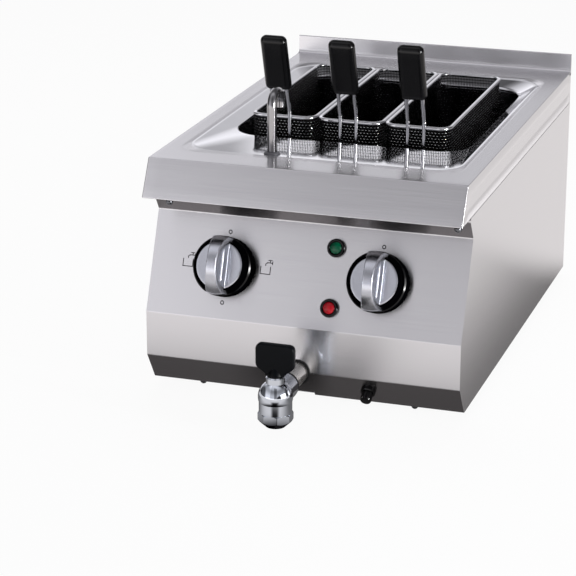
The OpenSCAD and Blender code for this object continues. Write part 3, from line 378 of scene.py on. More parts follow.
# Lamp lenses of tinted polycarbonate: deep colour under a glossy skin.
green_lens, red_lens = (
    finish(name, colours, 0.0, (0.12, 0.18), (4, 4, 4), Specular_IOR_Level=0.35)
    for name, colours in (("green_polycarbonate", ("#02543a", "#0b7a52")),
                          ("red_polycarbonate", ("#b80a1c", "#dc1f30"))))
# Screen-printed ink on the panel: dull near-black.
printed_ink = finish("screen_printed_ink", ("#0d0d0e", "#161617"), 0.0, (0.5, 0.6), (1, 1, 1))

finishes = {
    "brushed_steel": brushed_steel, "polished_steel": polished_steel, "pipe_steel": pipe_steel,
    "satin_metal": satin_metal, "black_gloss": black_gloss, "black_matte": black_matte,
    "black_rubber": black_rubber, "dark_plastic": dark_plastic, "cream_plastic": cream_plastic,
    "white_ptfe": white_ptfe, "green_lens": green_lens, "red_lens": red_lens, "valve_chrome": valve_chrome,
    "valve_brass": valve_brass, "copper_tube": copper_tube, "element_sheath": element_sheath,
    "mesh_wire": mesh_wire,
}
for subpart in frame["record"]["subparts"]:
    mesh = nodes[subpart["node"]].data
    mesh.materials.clear()
    mesh.materials.append(finishes[subpart["material_slot"]])
for node, material in (("spout", spout_steel), ("spout_gasket", grey_rubber), ("panel_screws", screw_painted_shade),
                       ("reset_collar", black_gloss), ("reset_button", black_gloss)):
    nodes[node].data.materials[0] = material


# Worktop

WORKTOP_W = 400
WORKTOP_FRONT, WORKTOP_BACK = -248.5, 351.5
TOP_Z, APRON_LOW_Z, WELL_Z = 300.0, 255.0, 292.0
APRON_RUN = 25.0
# Rounded rectangles: left, right, front, back and the radius of the corners
RECESS = (-171.5, 171.5, -194.5, 277.5, 34.0)
WELL = (-154.0, 154.0, -82.5, 257.5, 40.0)
SHEET_T = 1.5


def rounded_rectangle(x0, x1, y0, y1, r, arc=14, side=26):
    """Points round a rectangle with round corners: as many on every corner and on every side."""
    middles = np.array([[x1 - r, y0 + r], [x1 - r, y1 - r], [x0 + r, y1 - r], [x0 + r, y0 + r]])
    angle = np.radians(np.linspace(0, 90, arc)[None] + np.array([-90, 0, 90, 180])[:, None])
    arcs = middles[:, None] + r * np.stack([np.cos(angle), np.sin(angle)], -1)
    t = np.linspace(0, 1, side + 2)[1:-1, None]
    sides = arcs[:, -1:] * (1 - t) + np.roll(arcs[:, :1], -1, 0) * t
    return np.concatenate([arcs, sides], 1).reshape(-1, 2)


def grown(rectangle, by):
    """A rounded rectangle moved outwards by a distance."""
    x0, x1, y0, y1, r = rectangle
    return rounded_rectangle(x0 - by, x1 + by, y0 - by, y1 + by, r + by)


def level(outline, z):
    """A plane outline lifted to a height, which may differ from point to point."""
    return np.column_stack([outline, np.broadcast_to(z, len(outline))])


def worktop_rings():
    """Rings from the well's rolled edge up the sloped recess, across the flat and down the apron.

    Each ring is a rounded rectangle. The rolled edge is a parabola between the upright and the slope,
    the recess edge one between the slope and the flat.
    The apron leans forward: a point moves to the front in step with its depth below the top and
    with its nearness to the front.
    """
    # Reach of the rolled edge, the recess edge, the top's bend, the hem's bend and the fold under it
    roll, soft, bend, hem, fold = 4.5, 3.0, 1.0, 1.2, 17.0
    inside, over_well, corner_r = 0.05, 0.1, 0.6
    steps, quarter = np.linspace(0, 1, 9), math.pi / 2
    well = level(grown(WELL, -inside), WELL_Z + over_well)
    corner = level(grown(RECESS, 0.0), TOP_Z)
    uphill = (corner - well) / np.linalg.norm(corner - well, axis=1, keepdims=True)
    edge = [parabola(well - (0, 0, roll), well, well + roll * uphill, t) for t in steps]
    start = corner - soft * uphill
    end = level(grown(RECESS, soft), TOP_Z)
    slope = [edge[-1] * (1 - t) + start * t for t in steps[1:]]
    lip = [parabola(start, corner, end, t) for t in steps[1:]]
    x0, x1 = -WORKTOP_W / 2 + bend, WORKTOP_W / 2 - bend
    y0, y1 = WORKTOP_FRONT + bend, WORKTOP_BACK - bend
    outer = (x0, x1, y0, y1, corner_r)
    top = level(grown(outer, 0.0), TOP_Z)
    flat = [end * (1 - t) + top * t for t in np.linspace(0, 1, 5)[1:]]
    over = [level(grown(outer, bend * math.sin(a)), TOP_Z - bend * (1 - math.cos(a)))
            for a in np.linspace(0, quarter, 7)[1:]]
    walls = [level(grown(outer, bend), z) for z in np.linspace(TOP_Z - bend, APRON_LOW_Z + hem, 4)[1:]]
    under = [level(grown(outer, bend - hem * (1 - math.cos(a))), APRON_LOW_Z + hem * (1 - math.sin(a)))
             for a in np.linspace(0, quarter, 6)[1:]]
    inner = [level(rounded_rectangle(x0 + fold, x1 - fold, y0 + fold, y1 - fold, corner_r), APRON_LOW_Z)]
    rings = np.stack(edge + slope + lip + flat + over + walls + under + inner)
    recess_count = len(edge) + len(slope) + len(lip)
    depth = np.clip(TOP_Z - rings[..., 2], 0, None) / (TOP_Z - APRON_LOW_Z)
    nearness = 1 - (rings[..., 1] - WORKTOP_FRONT) / (WORKTOP_BACK - WORKTOP_FRONT)
    beyond = np.arange(len(rings))[:, None] >= recess_count + len(flat)
    rings[..., 1] -= np.where(beyond, APRON_RUN * depth * nearness, 0)
    return rings[:recess_count], rings[recess_count - 1:]


# The upstand at the back, with a coved foot on the worktop
UPSTAND_TOP, UPSTAND_T, UPSTAND_RUN = 325.0, 3.0, 12.0
UPSTAND_FOOT, UPSTAND_SUNK = TOP_Z + 0.05, TOP_Z - 4.0
upstand_profile = rounded([
    (WORKTOP_BACK - UPSTAND_RUN, UPSTAND_FOOT), (WORKTOP_BACK - UPSTAND_T, UPSTAND_FOOT),
    (WORKTOP_BACK - UPSTAND_T, UPSTAND_TOP), (WORKTOP_BACK, UPSTAND_TOP),
    (WORKTOP_BACK, UPSTAND_SUNK), (WORKTOP_BACK - UPSTAND_RUN, UPSTAND_SUNK)], (0.1, 6.0, 1.4, 1.4, 0.1, 0.1))
upstand = capped(np.stack([np.column_stack([np.full(len(upstand_profile), x), upstand_profile])
                           for x in (-WORKTOP_W / 2, WORKTOP_W / 2)]))

# The recess is polished for cleaning, the rest of the worktop is brushed
recess_rings, sheet_rings = worktop_rings()
for name, rings, material, slot, replaced in (
        ("worktop_sheet", sheet_rings, brushed_steel, "brushed_steel", ["worktop"]),
        ("worktop_recess", recess_rings, polished_steel, "polished_steel", [])):
    sheet = grid(rings.shape[0], rings.shape[1], False)[:, ::-1]
    shells = [(rings.reshape(-1, 3), [sheet])]
    piece = make_piece(name, shells, "cabinet", material, replaced, crease=50)
    thickness = piece.modifiers.new("sheet", "SOLIDIFY")
    thickness.thickness = SHEET_T * MM
    thickness.offset = -1.0
make_piece("worktop_upstand", [upstand], "cabinet", brushed_steel)


# Knobs

KNOB_R, KNOB_WALL_Z, FACE_R, FACE_Z = 37.0, 20.0, 29.9, 30.0
CHAMFER_IN, CHAMFER_DOWN = 1.53, 1.6
GRIP_Z, GRIP_BASE_Z, GRIP_TOP_HALF = 60.0, 16.0, 6.0
GRIP_SLOPE = 4.5 / 30
GRIP_R, CROWN_R = 36.0, 36.08
KNOB_STEPS = 128


def skirt():
    """The skirt's wall, chamfer, hollow flange and seat for the face, turned round the knob's axis."""
    inner, foot, flange, rim, seat_r, bore = 33.9, 0.8, 31.7, 31.0, 30.1, 6.0
    seat = FACE_Z - 2.0
    profile = [(inner, foot), (KNOB_R - 0.6, foot), (KNOB_R, 2 * foot), (KNOB_R, KNOB_WALL_Z - CHAMFER_DOWN),
               (KNOB_R - CHAMFER_IN, KNOB_WALL_Z), (flange, KNOB_WALL_Z + 2.0), (rim + 0.3, FACE_Z - 0.6),
               (rim, FACE_Z), (seat_r, FACE_Z), (seat_r, seat), (bore, seat), (bore, seat - 2.0),
               (inner, KNOB_WALL_Z - 3.0)]
    cuts = (0.1, 0.4, 0.4, 0.25, 0.25, 2.0, 0.3, 0.3, 0.3, 0.1, 0.1, 0.1, 0.1)
    return turned(rounded(profile, cuts), KNOB_STEPS)


def shoulder():
    """The polished chamfer round the top of the skirt's wall, a thin ring just over the skirt."""
    skin, shallow, deep = 0.02, 0.6, 2.0
    profile = [(KNOB_R + skin, KNOB_WALL_Z - CHAMFER_DOWN + skin),
               (KNOB_R - CHAMFER_IN + skin, KNOB_WALL_Z + skin),
               (KNOB_R - deep, KNOB_WALL_Z - shallow), (KNOB_R - shallow, KNOB_WALL_Z - deep)]
    return turned(np.array(profile), KNOB_STEPS)


def face():
    """The metal face: a disc with a chamfered rim, a faint dish and a pinhole on the axis."""
    chamfer, hole, dip, thick = 1.6, 0.5, 0.25, 1.9
    r = np.linspace(hole, FACE_R - chamfer - 0.2, 14)
    dish = np.column_stack([r, FACE_Z - dip + dip * (r / FACE_R) ** 2])
    rim = np.array([(FACE_R - chamfer, FACE_Z - 0.05), (FACE_R, FACE_Z - 0.8 * chamfer),
                    (FACE_R, FACE_Z - thick), (hole, FACE_Z - thick)])
    return turned(np.concatenate([dish, rim]), KNOB_STEPS)


def crown_height(y):
    """Height of the arched crown over a point along the grip."""
    return GRIP_Z - CROWN_R + np.sqrt(CROWN_R ** 2 - y ** 2)


def half_width(z):
    """Half the distance between the grip's flanks at a height: they part evenly on the way down."""
    return GRIP_TOP_HALF + GRIP_SLOPE * (GRIP_Z - z)


def grip():
    """The arched grip: a flat-topped wedge under a round arch, cut off by a cylinder round the knob's axis.

    A section's half is the crown from the middle out, a parabolic edge and the flank down to the
    base. Each point lies at the same share of the way to the cylinder.
    """
    columns, crown, edge, flank = 61, 9, 6, 7
    soft, least_flank = 1.3, 0.6
    share = np.linspace(-1, 1, columns)[:, None]
    y = share * GRIP_R
    for _ in range(6):
        y = share * np.sqrt(GRIP_R ** 2 - half_width(crown_height(y)) ** 2)
    top = crown_height(y)
    half = half_width(top)
    down = np.array([GRIP_SLOPE, -1]) / math.hypot(1, GRIP_SLOPE)
    t = np.linspace(0, 1, edge)[None]
    edge_x = parabola(half - soft, half, half + soft * down[0], t)
    edge_z = parabola(top, top, top + soft * down[1], t)
    s = np.linspace(0, 1, crown)[None, :-1]
    crown_x = s * (half - soft)
    low = np.minimum(GRIP_BASE_Z, top - soft - least_flank)
    f = np.linspace(0, 1, flank)[None, 1:]
    flank_z = (top + soft * down[1]) * (1 - f) + low * f
    x = np.concatenate([crown_x, edge_x, half_width(flank_z)], 1)
    z = np.concatenate([np.repeat(top, crown - 1, 1), edge_z, flank_z], 1)
    x = np.concatenate([-x[:, :0:-1], x], 1)
    z = np.concatenate([z[:, :0:-1], z], 1)
    rim = np.sqrt(np.clip(GRIP_R ** 2 - x ** 2, 0, None))
    return capped(np.stack([x, share * rim, z], -1))


def grip_rib(side):
    """A finger rib along one flank: a round bar whose ends round off like a superellipse."""
    half_length, radius, least, count = 21.0, 1.05, 0.05, 41
    z = FACE_Z + 0.42 * (GRIP_Z - FACE_Z)
    share = np.sin(np.linspace(-math.pi / 2, math.pi / 2, count))
    path = np.column_stack([np.full(count, side * half_width(z)), share * half_length, np.full(count, z)])
    taper = radius * np.maximum(np.clip(1 - share ** 8, 0, 1) ** 0.5, least)
    return tube(path, taper, (0, 0, 1), 14)


def grip_fillet(side):
    """The hollow fillet at the foot of one flank: a concave quarter circle carried along the grip."""
    half_length, radius, inset, sunk = 26.5, 0.4, 1.5, 0.5
    foot = half_width(FACE_Z)
    angle = np.linspace(0, math.pi / 2, 8)
    hollow = np.column_stack([foot + radius * (1 - np.sin(angle)),
                              FACE_Z - 0.1 + radius * (1 - np.cos(angle))])
    section = np.concatenate([hollow, [(foot - inset, FACE_Z + radius), (foot - inset, FACE_Z - sunk),
                                       (foot + radius, FACE_Z - sunk)]])
    return capped(np.stack([np.column_stack([side * section[:, 0], np.full(len(section), y), section[:, 1]])
                            for y in (-half_length, half_length)]))


def axes_of(joint):
    """Right, up the face and out of it, for a joint whose axis stands on the sloped panel."""
    out = np.array(joint["axis"], float)
    right = np.array([1.0, 0.0, 0.0])
    return np.stack([right, np.cross(out, right), out])


for knob in ("fill_knob", "heat_knob"):
    joint = joints[knob + "_turn"]
    origin, axes = np.array(joint["pos_m"]) / MM, axes_of(joint)
    make_piece(knob + "_moulded_skirt", [placed(skirt(), origin, axes)], knob, black_skirt,
               [knob + "_skirt"])
    make_piece(knob + "_polished_shoulder", [placed(shoulder(), origin, axes)], knob, black_gloss)
    make_piece(knob + "_cast_cap",
               [placed(shell, origin, axes) for shell in (
                   face(), grip(), grip_rib(-1), grip_rib(1), grip_fillet(-1), grip_fillet(1))],
               knob, satin_metal, [knob + "_cap"])


# Lamps

panel = axes_of(joints["heat_knob_turn"])
PANEL_ORIGIN = np.array([0.0, *(np.array(joints["heat_knob_turn"]["pos_m"][1:]) / MM)])
LAMP_X, LAMP_UP = 34.0, 36.5


def bezel():
    """A lamp's ring: a rounded outer edge, a crest and a sloped inner lip."""
    profile = [(7.35, 0.0), (11.5, 0.0), (11.5, 3.8), (10.4, 6.0), (8.6, 6.0), (7.35, 4.8)]
    return turned(rounded(profile, (0.1, 0.1, 0.9, 0.7, 0.6, 0.5)), 72)


def lens():
    """A domed lens whose rim is cut into shallow flutes."""
    dome_r, dome_top, rim, hole, back = 11.4, 7.6, 7.25, 0.15, 1.0
    flutes, flute_depth, flutes_from = 18, 0.012, 5.0
    r = np.linspace(hole, rim, 18)
    dome = np.column_stack([r, dome_top - dome_r + np.sqrt(dome_r ** 2 - r ** 2)])
    profile = np.concatenate([dome, [(rim, back), (hole, back)]])

    def fluted(angle, radius):
        """A factor that dips in waves round the outer part."""
        return 1 - flute_depth * (1 + np.cos(flutes * angle)) * (radius > flutes_from)

    return turned(profile, 144, fluted)


for colour, up in (("green", LAMP_UP), ("red", -LAMP_UP)):
    origin = PANEL_ORIGIN + LAMP_X * panel[0] + up * panel[1]
    make_piece(colour + "_lamp_ring", [placed(bezel(), origin, panel)], "cabinet", black_gloss,
               [colour + "_lamp_bezel"])
    make_piece(colour + "_lamp_dome", [placed(lens(), origin, panel)], "cabinet", finishes[colour + "_lens"],
               [colour + "_lamp_lens"])


# Marks printed on the panel

INK_T, INK_W = 0.12, 1.0


def strokes(segments):
    """Thin bars along straight segments of the panel, as boxes that overrun their ends by half a width."""
    segments = np.asarray(segments, float)
    start, end = segments[:, 0], segments[:, 1]
    along = (end - start) / np.linalg.norm(end - start, axis=1, keepdims=True) * INK_W / 2
    side = np.stack([-along[:, 1], along[:, 0]], -1)
    outline = np.stack([start - along - side, end + along - side,
                        end + along + side, start - along + side], 1)
    low = np.concatenate([outline, np.zeros((*outline.shape[:2], 1))], -1)
    points = np.concatenate([low, low + (0, 0, INK_T)], 1)
    faces = np.array([(3, 2, 1, 0), (4, 5, 6, 7), (0, 1, 5, 4), (1, 2, 6, 5), (2, 3, 7, 6), (3, 0, 4, 7)])
    first = 8 * np.arange(len(segments))[:, None, None]
    return points.reshape(-1, 3), [(faces[None] + first).reshape(-1, 4)]


def nought(x, y):
    """A small ring, drawn a little taller than wide."""
    inner, outer, taller = 1.4, 2.5, 1.1
    profile = np.array([(inner, 0.0), (outer, 0.0), (outer, INK_T), (inner, INK_T)])
    points, groups = turned(profile, 40)
    return points * (1.0, taller, 1.0) + (x, y, 0), groups


def tub_and_tap(x):
    """An open tub with a tap over it."""
    low, high, wide, tap_x, tap_y = -3.5, 5.5, 12.5, x + 10.5, 10.5
    tub = [((x, high), (x, low)), ((x, low), (x + wide, low)), ((x + wide, low), (x + wide, high))]
    spout = [((tap_x - 2.5, tap_y), (tap_x + 4, tap_y)), ((tap_x - 2.5, tap_y), (tap_x - 4.5, tap_y - 1.6)),
             ((tap_x - 4.5, tap_y - 1.6), (tap_x - 4.5, tap_y - 3.4))]
    handle = [((tap_x + 1, tap_y), (tap_x + 1, tap_y + 3)),
              ((tap_x - 1.2, tap_y + 3), (tap_x + 3.2, tap_y + 3))]
    flange = [((tap_x + 4, tap_y - 1.6), (tap_x + 4, tap_y + 1.6))]
    return strokes(tub + spout + handle + flange)


MARK_UP, TUB_LEFT, TUB_RIGHT = 43.7, -56.5, 44.0
fill_x, heat_x = (joints[name]["pos_m"][0] / MM for name in ("fill_knob_turn", "heat_knob_turn"))
marks = [nought(fill_x, MARK_UP), nought(fill_x, -MARK_UP), nought(heat_x, MARK_UP),
         tub_and_tap(fill_x + TUB_LEFT), tub_and_tap(fill_x + TUB_RIGHT)]
make_piece("panel_marks", [placed(mark, PANEL_ORIGIN, panel) for mark in marks], "cabinet", printed_ink)


# Drain lever

LEVER_ORIGIN = np.array(joints["drain_lever_turn"]["pos_m"]) / MM
LEVER_LOW = 25.9


def paddle():
    """The lever's paddle: a rounded outline whose edge turns in to front and back on quarter circles."""
    neck_top, bulge, top = LEVER_LOW + 3.0, LEVER_LOW + 11.0, LEVER_LOW + 40.0
    neck, half, thick, soft = 12.5, 24.0, 10.0, 2.4
    corners = [(-neck, LEVER_LOW), (neck, LEVER_LOW), (neck, neck_top), (half, bulge),
               (half, top), (-half, top), (-half, bulge), (-neck, neck_top)]
    outline = rounded(corners, (2.6, 2.6, 0.3, 4.5, 8, 8, 4.5, 0.3), steps=10)
    along = np.roll(outline, -1, 0) - np.roll(outline, 1, 0)
    normal = np.stack([along[:, 1], -along[:, 0]], -1) / np.linalg.norm(along, axis=1, keepdims=True)
    angle = np.linspace(0, math.pi / 2, 7)
    inset = np.concatenate([soft * (1 - np.sin(angle)), soft * (1 - np.cos(angle))])
    across = np.concatenate([-thick / 2 + soft * (1 - np.cos(angle)), thick / 2 - soft * (1 - np.sin(angle))])
    lines = outline[None] - inset[:, None, None] * normal[None]
    depth = np.broadcast_to(across[:, None], lines.shape[:2])
    return capped(np.stack([lines[..., 0], depth, lines[..., 1]], -1))


def lever_hub():
    """The round hub under the paddle, blended upwards into it by a long taper."""
    profile = [(0.4, LEVER_LOW), (9.6, LEVER_LOW), (10.0, 27.0), (8.4, 31.0), (4.6, 36.5), (0.4, 37.0)]
    return turned(rounded(profile, (0.1, 0.6, 1.0, 2.0, 0.4, 0.1)), 64)


make_piece("drain_lever_paddle",
           [placed(shell, LEVER_ORIGIN, np.eye(3)) for shell in (paddle(), lever_hub())],
           "drain_lever", black_satin, ["drain_handle"])


# Woven baskets

BASKET_W, BASKET_L, BASKET_R, BASKET_H = 82.0, 288.0, 14.0, 178.0
BASKET_Y, BASKET_Z, BASKET_PITCH = 77.5, 134.3, 88.0
WARP, WEFT, WIRE_R, WAVE = 2.2, 3.7, 0.5, 0.45
LOWEST_WEFT, RIM_OVERLAP, FLOOR_INSET, FLOOR_LIFT = 0.6, 1.0, 0.4, 1.0
UP = np.array([0.0, 0.0, 1.0])


def wires(lines, out, beside, closed, front):
    """Three-sided wires along lines of middle points. out and beside span each wire's section.

    A point's crest is 1 where front holds for its line and the point faces out.
    """
    sides = 3
    angle = np.arange(sides) * AROUND / sides
    crest = (front[..., None] & (np.cos(angle) > 0)).astype(float)
    section = np.cos(angle)[:, None] * out[..., None, :] + np.sin(angle)[:, None] * beside[..., None, :]
    points = (lines[..., None, :] + WIRE_R * section).reshape(-1, 3)
    count, length = lines.shape[:2]
    first = length * sides * np.arange(count)[:, None, None]
    groups = [(grid(length, sides, closed)[None] + first).reshape(-1, 4)]
    if not closed:
        end = np.array([2, 1, 0])
        groups.append((end[None, None] + first).reshape(-1, sides))
        groups.append((end[None, None, ::-1] + sides * (length - 1) + first).reshape(-1, sides))
    return points, outward(points, groups), crest.ravel()


def weave(count, rows):
    """How far each wire stands out at each crossing: to one side and to the other in turn."""
    return WAVE * (1 - 2 * ((np.arange(count)[:, None] + np.arange(rows)[None]) % 2))


def basket_wall(x):
    """Upright and level wires on a rounded rectangle; each wire waves in and out as it passes the others."""
    dense = rounded_rectangle(-BASKET_W / 2, BASKET_W / 2, -BASKET_L / 2, BASKET_L / 2, BASKET_R, 40, 60)
    dense = np.concatenate([dense, dense[:1]])
    length = np.concatenate([[0], np.cumsum(np.linalg.norm(np.diff(dense, axis=0), axis=1))])
    count = 2 * round(length[-1] / WARP / 2)
    s = np.arange(count) * length[-1] / count
    foot = np.column_stack([np.interp(s, length, dense[:, 0]), np.interp(s, length, dense[:, 1])])
    along = np.roll(foot, -1, 0) - np.roll(foot, 1, 0)
    out = np.column_stack([along[:, 1], -along[:, 0]]) / np.linalg.norm(along, axis=1, keepdims=True)
    out = np.column_stack([out, np.zeros(count)])
    rows = round(BASKET_H / WEFT)
    z = np.linspace(LOWEST_WEFT, BASKET_H + RIM_OVERLAP, rows)
    wave = weave(count, rows)
    base = np.column_stack([foot, np.zeros(count)])
    middle = base[:, None] + UP * z[None, :, None]
    outs = np.broadcast_to(out[:, None], middle.shape)
    upright = middle + wave[..., None] * outs
    level_wires = (middle - wave[..., None] * outs).transpose(1, 0, 2)
    up = np.broadcast_to(UP, middle.shape)
    beside = np.cross(up, outs)
    move = (x, BASKET_Y, BASKET_Z)
    shells = [wires(upright, outs, beside, False, np.zeros(wave.shape, bool)),
              wires(level_wires, outs.transpose(1, 0, 2), up.transpose(1, 0, 2), True, wave.T < 0)]
    return [(points + move, groups, crest) for points, groups, crest in shells]


def reach(across, half_across, half_along):
    """Half length of a floor wire at a distance from the middle, inside the round corners."""
    inside = np.clip(np.abs(across) - (half_across - BASKET_R), 0, BASKET_R)
    return half_along - BASKET_R + np.sqrt(BASKET_R ** 2 - inside ** 2)


def basket_floor(x):
    """Wires along and across the floor, each waving over and under the others."""
    half_w, half_l = BASKET_W / 2 - FLOOR_INSET, BASKET_L / 2 - FLOOR_INSET
    xs = np.linspace(-half_w, half_w, 2 * round(half_w / WARP))
    ys = np.linspace(-half_l, half_l, 2 * round(half_l / WEFT))
    wave = weave(len(xs), len(ys))
    long_y = np.linspace(-1, 1, len(ys))[None] * reach(xs, half_w, half_l)[:, None]
    long_lines = np.stack([np.repeat(xs[:, None], len(ys), 1), long_y, wave], -1)
    short_x = np.linspace(-1, 1, len(xs))[None] * reach(ys, half_l, half_w)[:, None]
    short_lines = np.stack([short_x, np.repeat(ys[:, None], len(xs), 1), -wave.T], -1)
    shells = []
    for lines, beside in ((long_lines, (1.0, 0.0, 0.0)), (short_lines, (0.0, 1.0, 0.0))):
        out = np.broadcast_to(UP, lines.shape)
        shells.append(wires(lines, out, np.broadcast_to(beside, lines.shape), False, lines[..., 2] > 0))
    move = (x, BASKET_Y, BASKET_Z + FLOOR_LIFT)
    return [(points + move, groups, crest) for points, groups, crest in shells]


for name, place in (("left", -1), ("middle", 0), ("right", 1)):
    for part, woven, replaced in (("wall", basket_wall, [name + "_basket"]), ("floor", basket_floor, [])):
        shells = woven(place * BASKET_PITCH)
        crests = np.concatenate([crest for _, _, crest in shells])
        make_piece(name + "_basket_woven_" + part, [shell[:2] for shell in shells], "basket_" + name,
                   mesh_wire, replaced, crease=0, crest=crests)


# Camera, floor and light

CAMERA_TURN, CAMERA_DOWN = math.radians(18.19), math.radians(18.93)
camera = bpy.data.objects.new("camera", bpy.data.cameras.new("camera"))
scene.collection.objects.link(camera)
camera.location = (0.7839, -2.6984, 1.0351)
camera.rotation_euler = (math.pi / 2 - CAMERA_DOWN, 0, CAMERA_TURN)
camera.data.lens = 140.4
camera.data.sensor_width = 36
camera.data.clip_end = 60
scene.camera = camera

FLOOR_HALF = 12.0
FOOTPRINT_HALF = {"X": 0.2, "Y": 0.27}
VALVE_PLACE = (-0.0035, -0.37, 0.0)
FLOOR_GLOW_SEEN = 0.94
ROOM_LIGHT = 0.35


def paper_floor():
    """A pale floor: nearly all glow to the camera, with the object's shadow in the rest.

    In reflections its glow is painted: white too, slightly warm and brighter far off in front, but for
    painted shade next to the object and under its tap, and for a painted dark streak on the floor through
    the tap, towards the camera and away from it.
    """
    material = bpy.data.materials.new("white_paper_floor")
    material.use_nodes = True
    tree = material.node_tree
    tree.nodes.clear()
    ray = add(tree, "ShaderNodeLightPath").outputs
    place = add(tree, "ShaderNodeTexCoord").outputs["Object"]
    side = add(tree, "ShaderNodeSeparateXYZ", links={"Vector": place}).outputs
    gaps = [calculate(tree, "SUBTRACT", calculate(tree, "ABSOLUTE", side[axis]), half)
            for axis, half in FOOTPRINT_HALF.items()]
    shade = ramp(tree, calculate(tree, "MAXIMUM", *gaps), 0.02, 0.19, low=0.2, high=0.85, smooth=True)
    far_in_front = ramp(tree, side["Y"], -0.8, -1.3, low=1.0, high=1.8)
    apart = add(tree, "ShaderNodeVectorMath", {1: VALVE_PLACE}, {0: place}, operation="SUBTRACT")
    from_tap = apart.outputs["Vector"]
    distance = add(tree, "ShaderNodeVectorMath", links={0: from_tap}, operation="LENGTH").outputs["Value"]
    under_tap = ramp(tree, distance, 0.04, 0.09, low=0.03, high=1.0, smooth=True)
    way = add(tree, "ShaderNodeSeparateXYZ", links={"Vector": from_tap}).outputs
    bearing = calculate(tree, "ARCTAN2", way["X"], way["Y"])
    double = calculate(tree, "MULTIPLY_ADD", bearing, 2.0, 2 * CAMERA_TURN)
    in_line = ramp(tree, calculate(tree, "COSINE", double), 0.25, 0.95, smooth=True)
    close = ramp(tree, distance, 0.17, 0.08, smooth=True)
    streak = ramp(tree, product(tree, in_line, close), 0.0, 1.0, low=1.0, high=0.03)
    mirrored = product(tree, shade, far_in_front, under_tap, streak)
    strength = choose(tree, ray["Is Camera Ray"], mirrored, 1.0)
    tones = {6: to_linear("#fffbfa"), 7: to_linear("#ffffff")}
    tone = add(tree, "ShaderNodeMix", tones, {"Factor": ray["Is Camera Ray"]}, data_type="RGBA")
    glow = add(tree, "ShaderNodeEmission", links={"Color": tone.outputs[2], "Strength": strength})
    lit = add(tree, "ShaderNodeBsdfDiffuse", {"Color": to_linear("#f2f2f2")})
    seen = calculate(tree, "MULTIPLY", ray["Is Camera Ray"], FLOOR_GLOW_SEEN)
    glowing = calculate(tree, "MAXIMUM", ray["Is Glossy Ray"], seen)
    glowing = calculate(tree, "MAXIMUM", ray["Is Transmission Ray"], glowing)
    both = add(tree, "ShaderNodeMixShader",
               links={0: glowing, 1: lit.outputs["BSDF"], 2: glow.outputs["Emission"]})
    add(tree, "ShaderNodeOutputMaterial", links={"Surface": both.outputs["Shader"]})
    return material


corners = FLOOR_HALF * np.array([(-1, -1, 0), (1, -1, 0), (1, 1, 0), (-1, 1, 0)], float)
floor_mesh = bpy.data.meshes.new("floor")
floor_mesh.from_pydata(corners.tolist(), [], [(0, 1, 2, 3)])
floor_mesh.materials.append(paper_floor())
floor = bpy.data.objects.new("floor", floor_mesh)
scene.collection.objects.link(floor)


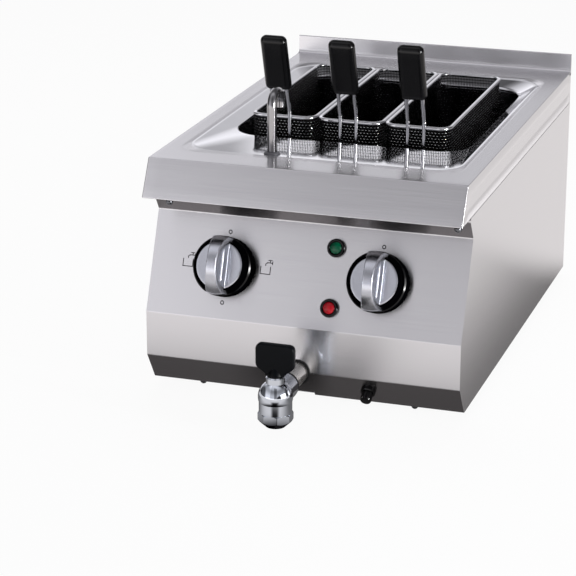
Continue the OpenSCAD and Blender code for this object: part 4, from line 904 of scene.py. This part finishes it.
def studio():
    """A white room that lights the object evenly. Its walls, light and dark, show in reflections only."""
    world = bpy.data.worlds.new("studio")
    world.use_nodes = True
    tree = world.node_tree
    tree.nodes.clear()
    ray = add(tree, "ShaderNodeLightPath").outputs
    direction = add(tree, "ShaderNodeTexCoord").outputs["Generated"]
    side = add(tree, "ShaderNodeSeparateXYZ", links={"Vector": direction}).outputs
    x, y, z = side["X"], side["Y"], side["Z"]

    def towards(aim):
        """How far a direction points the way of another: 1 along it, 0 across it."""
        dot = add(tree, "ShaderNodeVectorMath", {1: aim}, {0: direction}, operation="DOT_PRODUCT")
        return dot.outputs["Value"]

    behind = ramp(tree, y, -0.05, 0.2)
    low_in_front = product(tree, ramp(tree, y, -0.5, -0.85), ramp(tree, z, 0.13, 0.0))
    high_behind = product(tree, behind, ramp(tree, z, 0.6, 0.8))
    low_behind = product(tree, ramp(tree, z, 0.28, 0.22), behind)
    low_behind_left = product(tree, low_behind, ramp(tree, x, -0.305, -0.325))
    beside_camera = calculate(tree, "ABSOLUTE", towards((math.cos(CAMERA_TURN), math.sin(CAMERA_TURN), 0.0)))
    off_camera = calculate(tree, "MAXIMUM", ramp(tree, beside_camera, 0.1, 0.2, smooth=True),
                           ramp(tree, y, -0.4, -0.2, smooth=True))
    walls = product(
        tree,
        # Brighter along the ground, most of all in front, and dim higher up but for a lamp overhead
        ramp(tree, z, 0.0, 0.13, low=1.1, high=0.9),
        ramp(tree, low_in_front, 0.0, 1.0, low=1.0, high=1.75),
        ramp(tree, z, 0.3, 0.65, low=1.0, high=0.46),
        ramp(tree, z, 0.78, 0.98, low=1.0, high=2.8),
        # Behind: dark high up, light lower down, with a grey wall low on the left
        ramp(tree, high_behind, 0.0, 1.0, low=1.0, high=0.25),
        ramp(tree, y, 0.3, 0.6, low=1.0, high=1.3),
        ramp(tree, low_behind, 0.0, 1.0, low=1.0, high=1.2),
        ramp(tree, low_behind_left, 0.0, 1.0, low=1.0, high=0.33),
        # Brighter on the left than on the right
        ramp(tree, x, -0.37, -0.27, low=1.22, high=0.78, smooth=True),
        # Dark: the corner behind on the right, a flag in front on the right, the far left
        ramp(tree, towards((0.8, 0.6, 0.0)), 0.66, 0.86, low=1.0, high=0.1, smooth=True),
        ramp(tree, towards((0.72, -0.695, 0.0)), 0.92, 0.97, low=1.0, high=0.05, smooth=True),
        ramp(tree, x, -0.72, -0.88, low=1.0, high=0.1, smooth=True),
        # Dim: the place behind the camera
        ramp(tree, off_camera, 0.0, 1.0, low=0.35, high=1.0))
    light = choose(tree, ray["Is Glossy Ray"], ROOM_LIGHT, walls)
    light = choose(tree, ray["Is Camera Ray"], light, 1.0)
    light = choose(tree, ray["Is Transmission Ray"], light, 1.0)
    sky = add(tree, "ShaderNodeBackground", {"Color": to_linear("#fbfaff")}, {"Strength": light})
    add(tree, "ShaderNodeOutputWorld", links={"Surface": sky.outputs["Background"]})
    return world


scene.world = studio()


def softbox(name, place, aim, width, height, power):
    """A rectangular lamp that faces a point. Its power is in watts."""
    light = bpy.data.lights.new(name, "AREA")
    light.shape = "RECTANGLE"
    light.size, light.size_y = width, height
    light.energy = power
    lamp = bpy.data.objects.new(name, light)
    scene.collection.objects.link(lamp)
    offset = np.array(aim, float) - np.array(place, float)
    lamp.location = place
    yaw = math.atan2(offset[0], -offset[1])
    pitch = math.atan2(math.hypot(offset[0], offset[1]), -offset[2])
    lamp.rotation_euler = (pitch, 0, yaw + math.pi)
    return lamp


# The overhead lamp is behind a large diffuser, so mirrors don't show it
softbox("overhead_softbox", (-0.2, 0.7, 2.1), (0, 0.1, 0.2), 1.6, 1.2, 18).visible_glossy = False
softbox("right_softbox", (2.1, -0.95, 0.45), (-0.1, -0.26, 0.17), 1.5, 1.1, 15)
softbox("right_strip_light", (1.9, -0.75, 0.33), (-0.1, -0.26, 0.17), 0.12, 0.62, 24)

scene.view_settings.view_transform = "Standard"
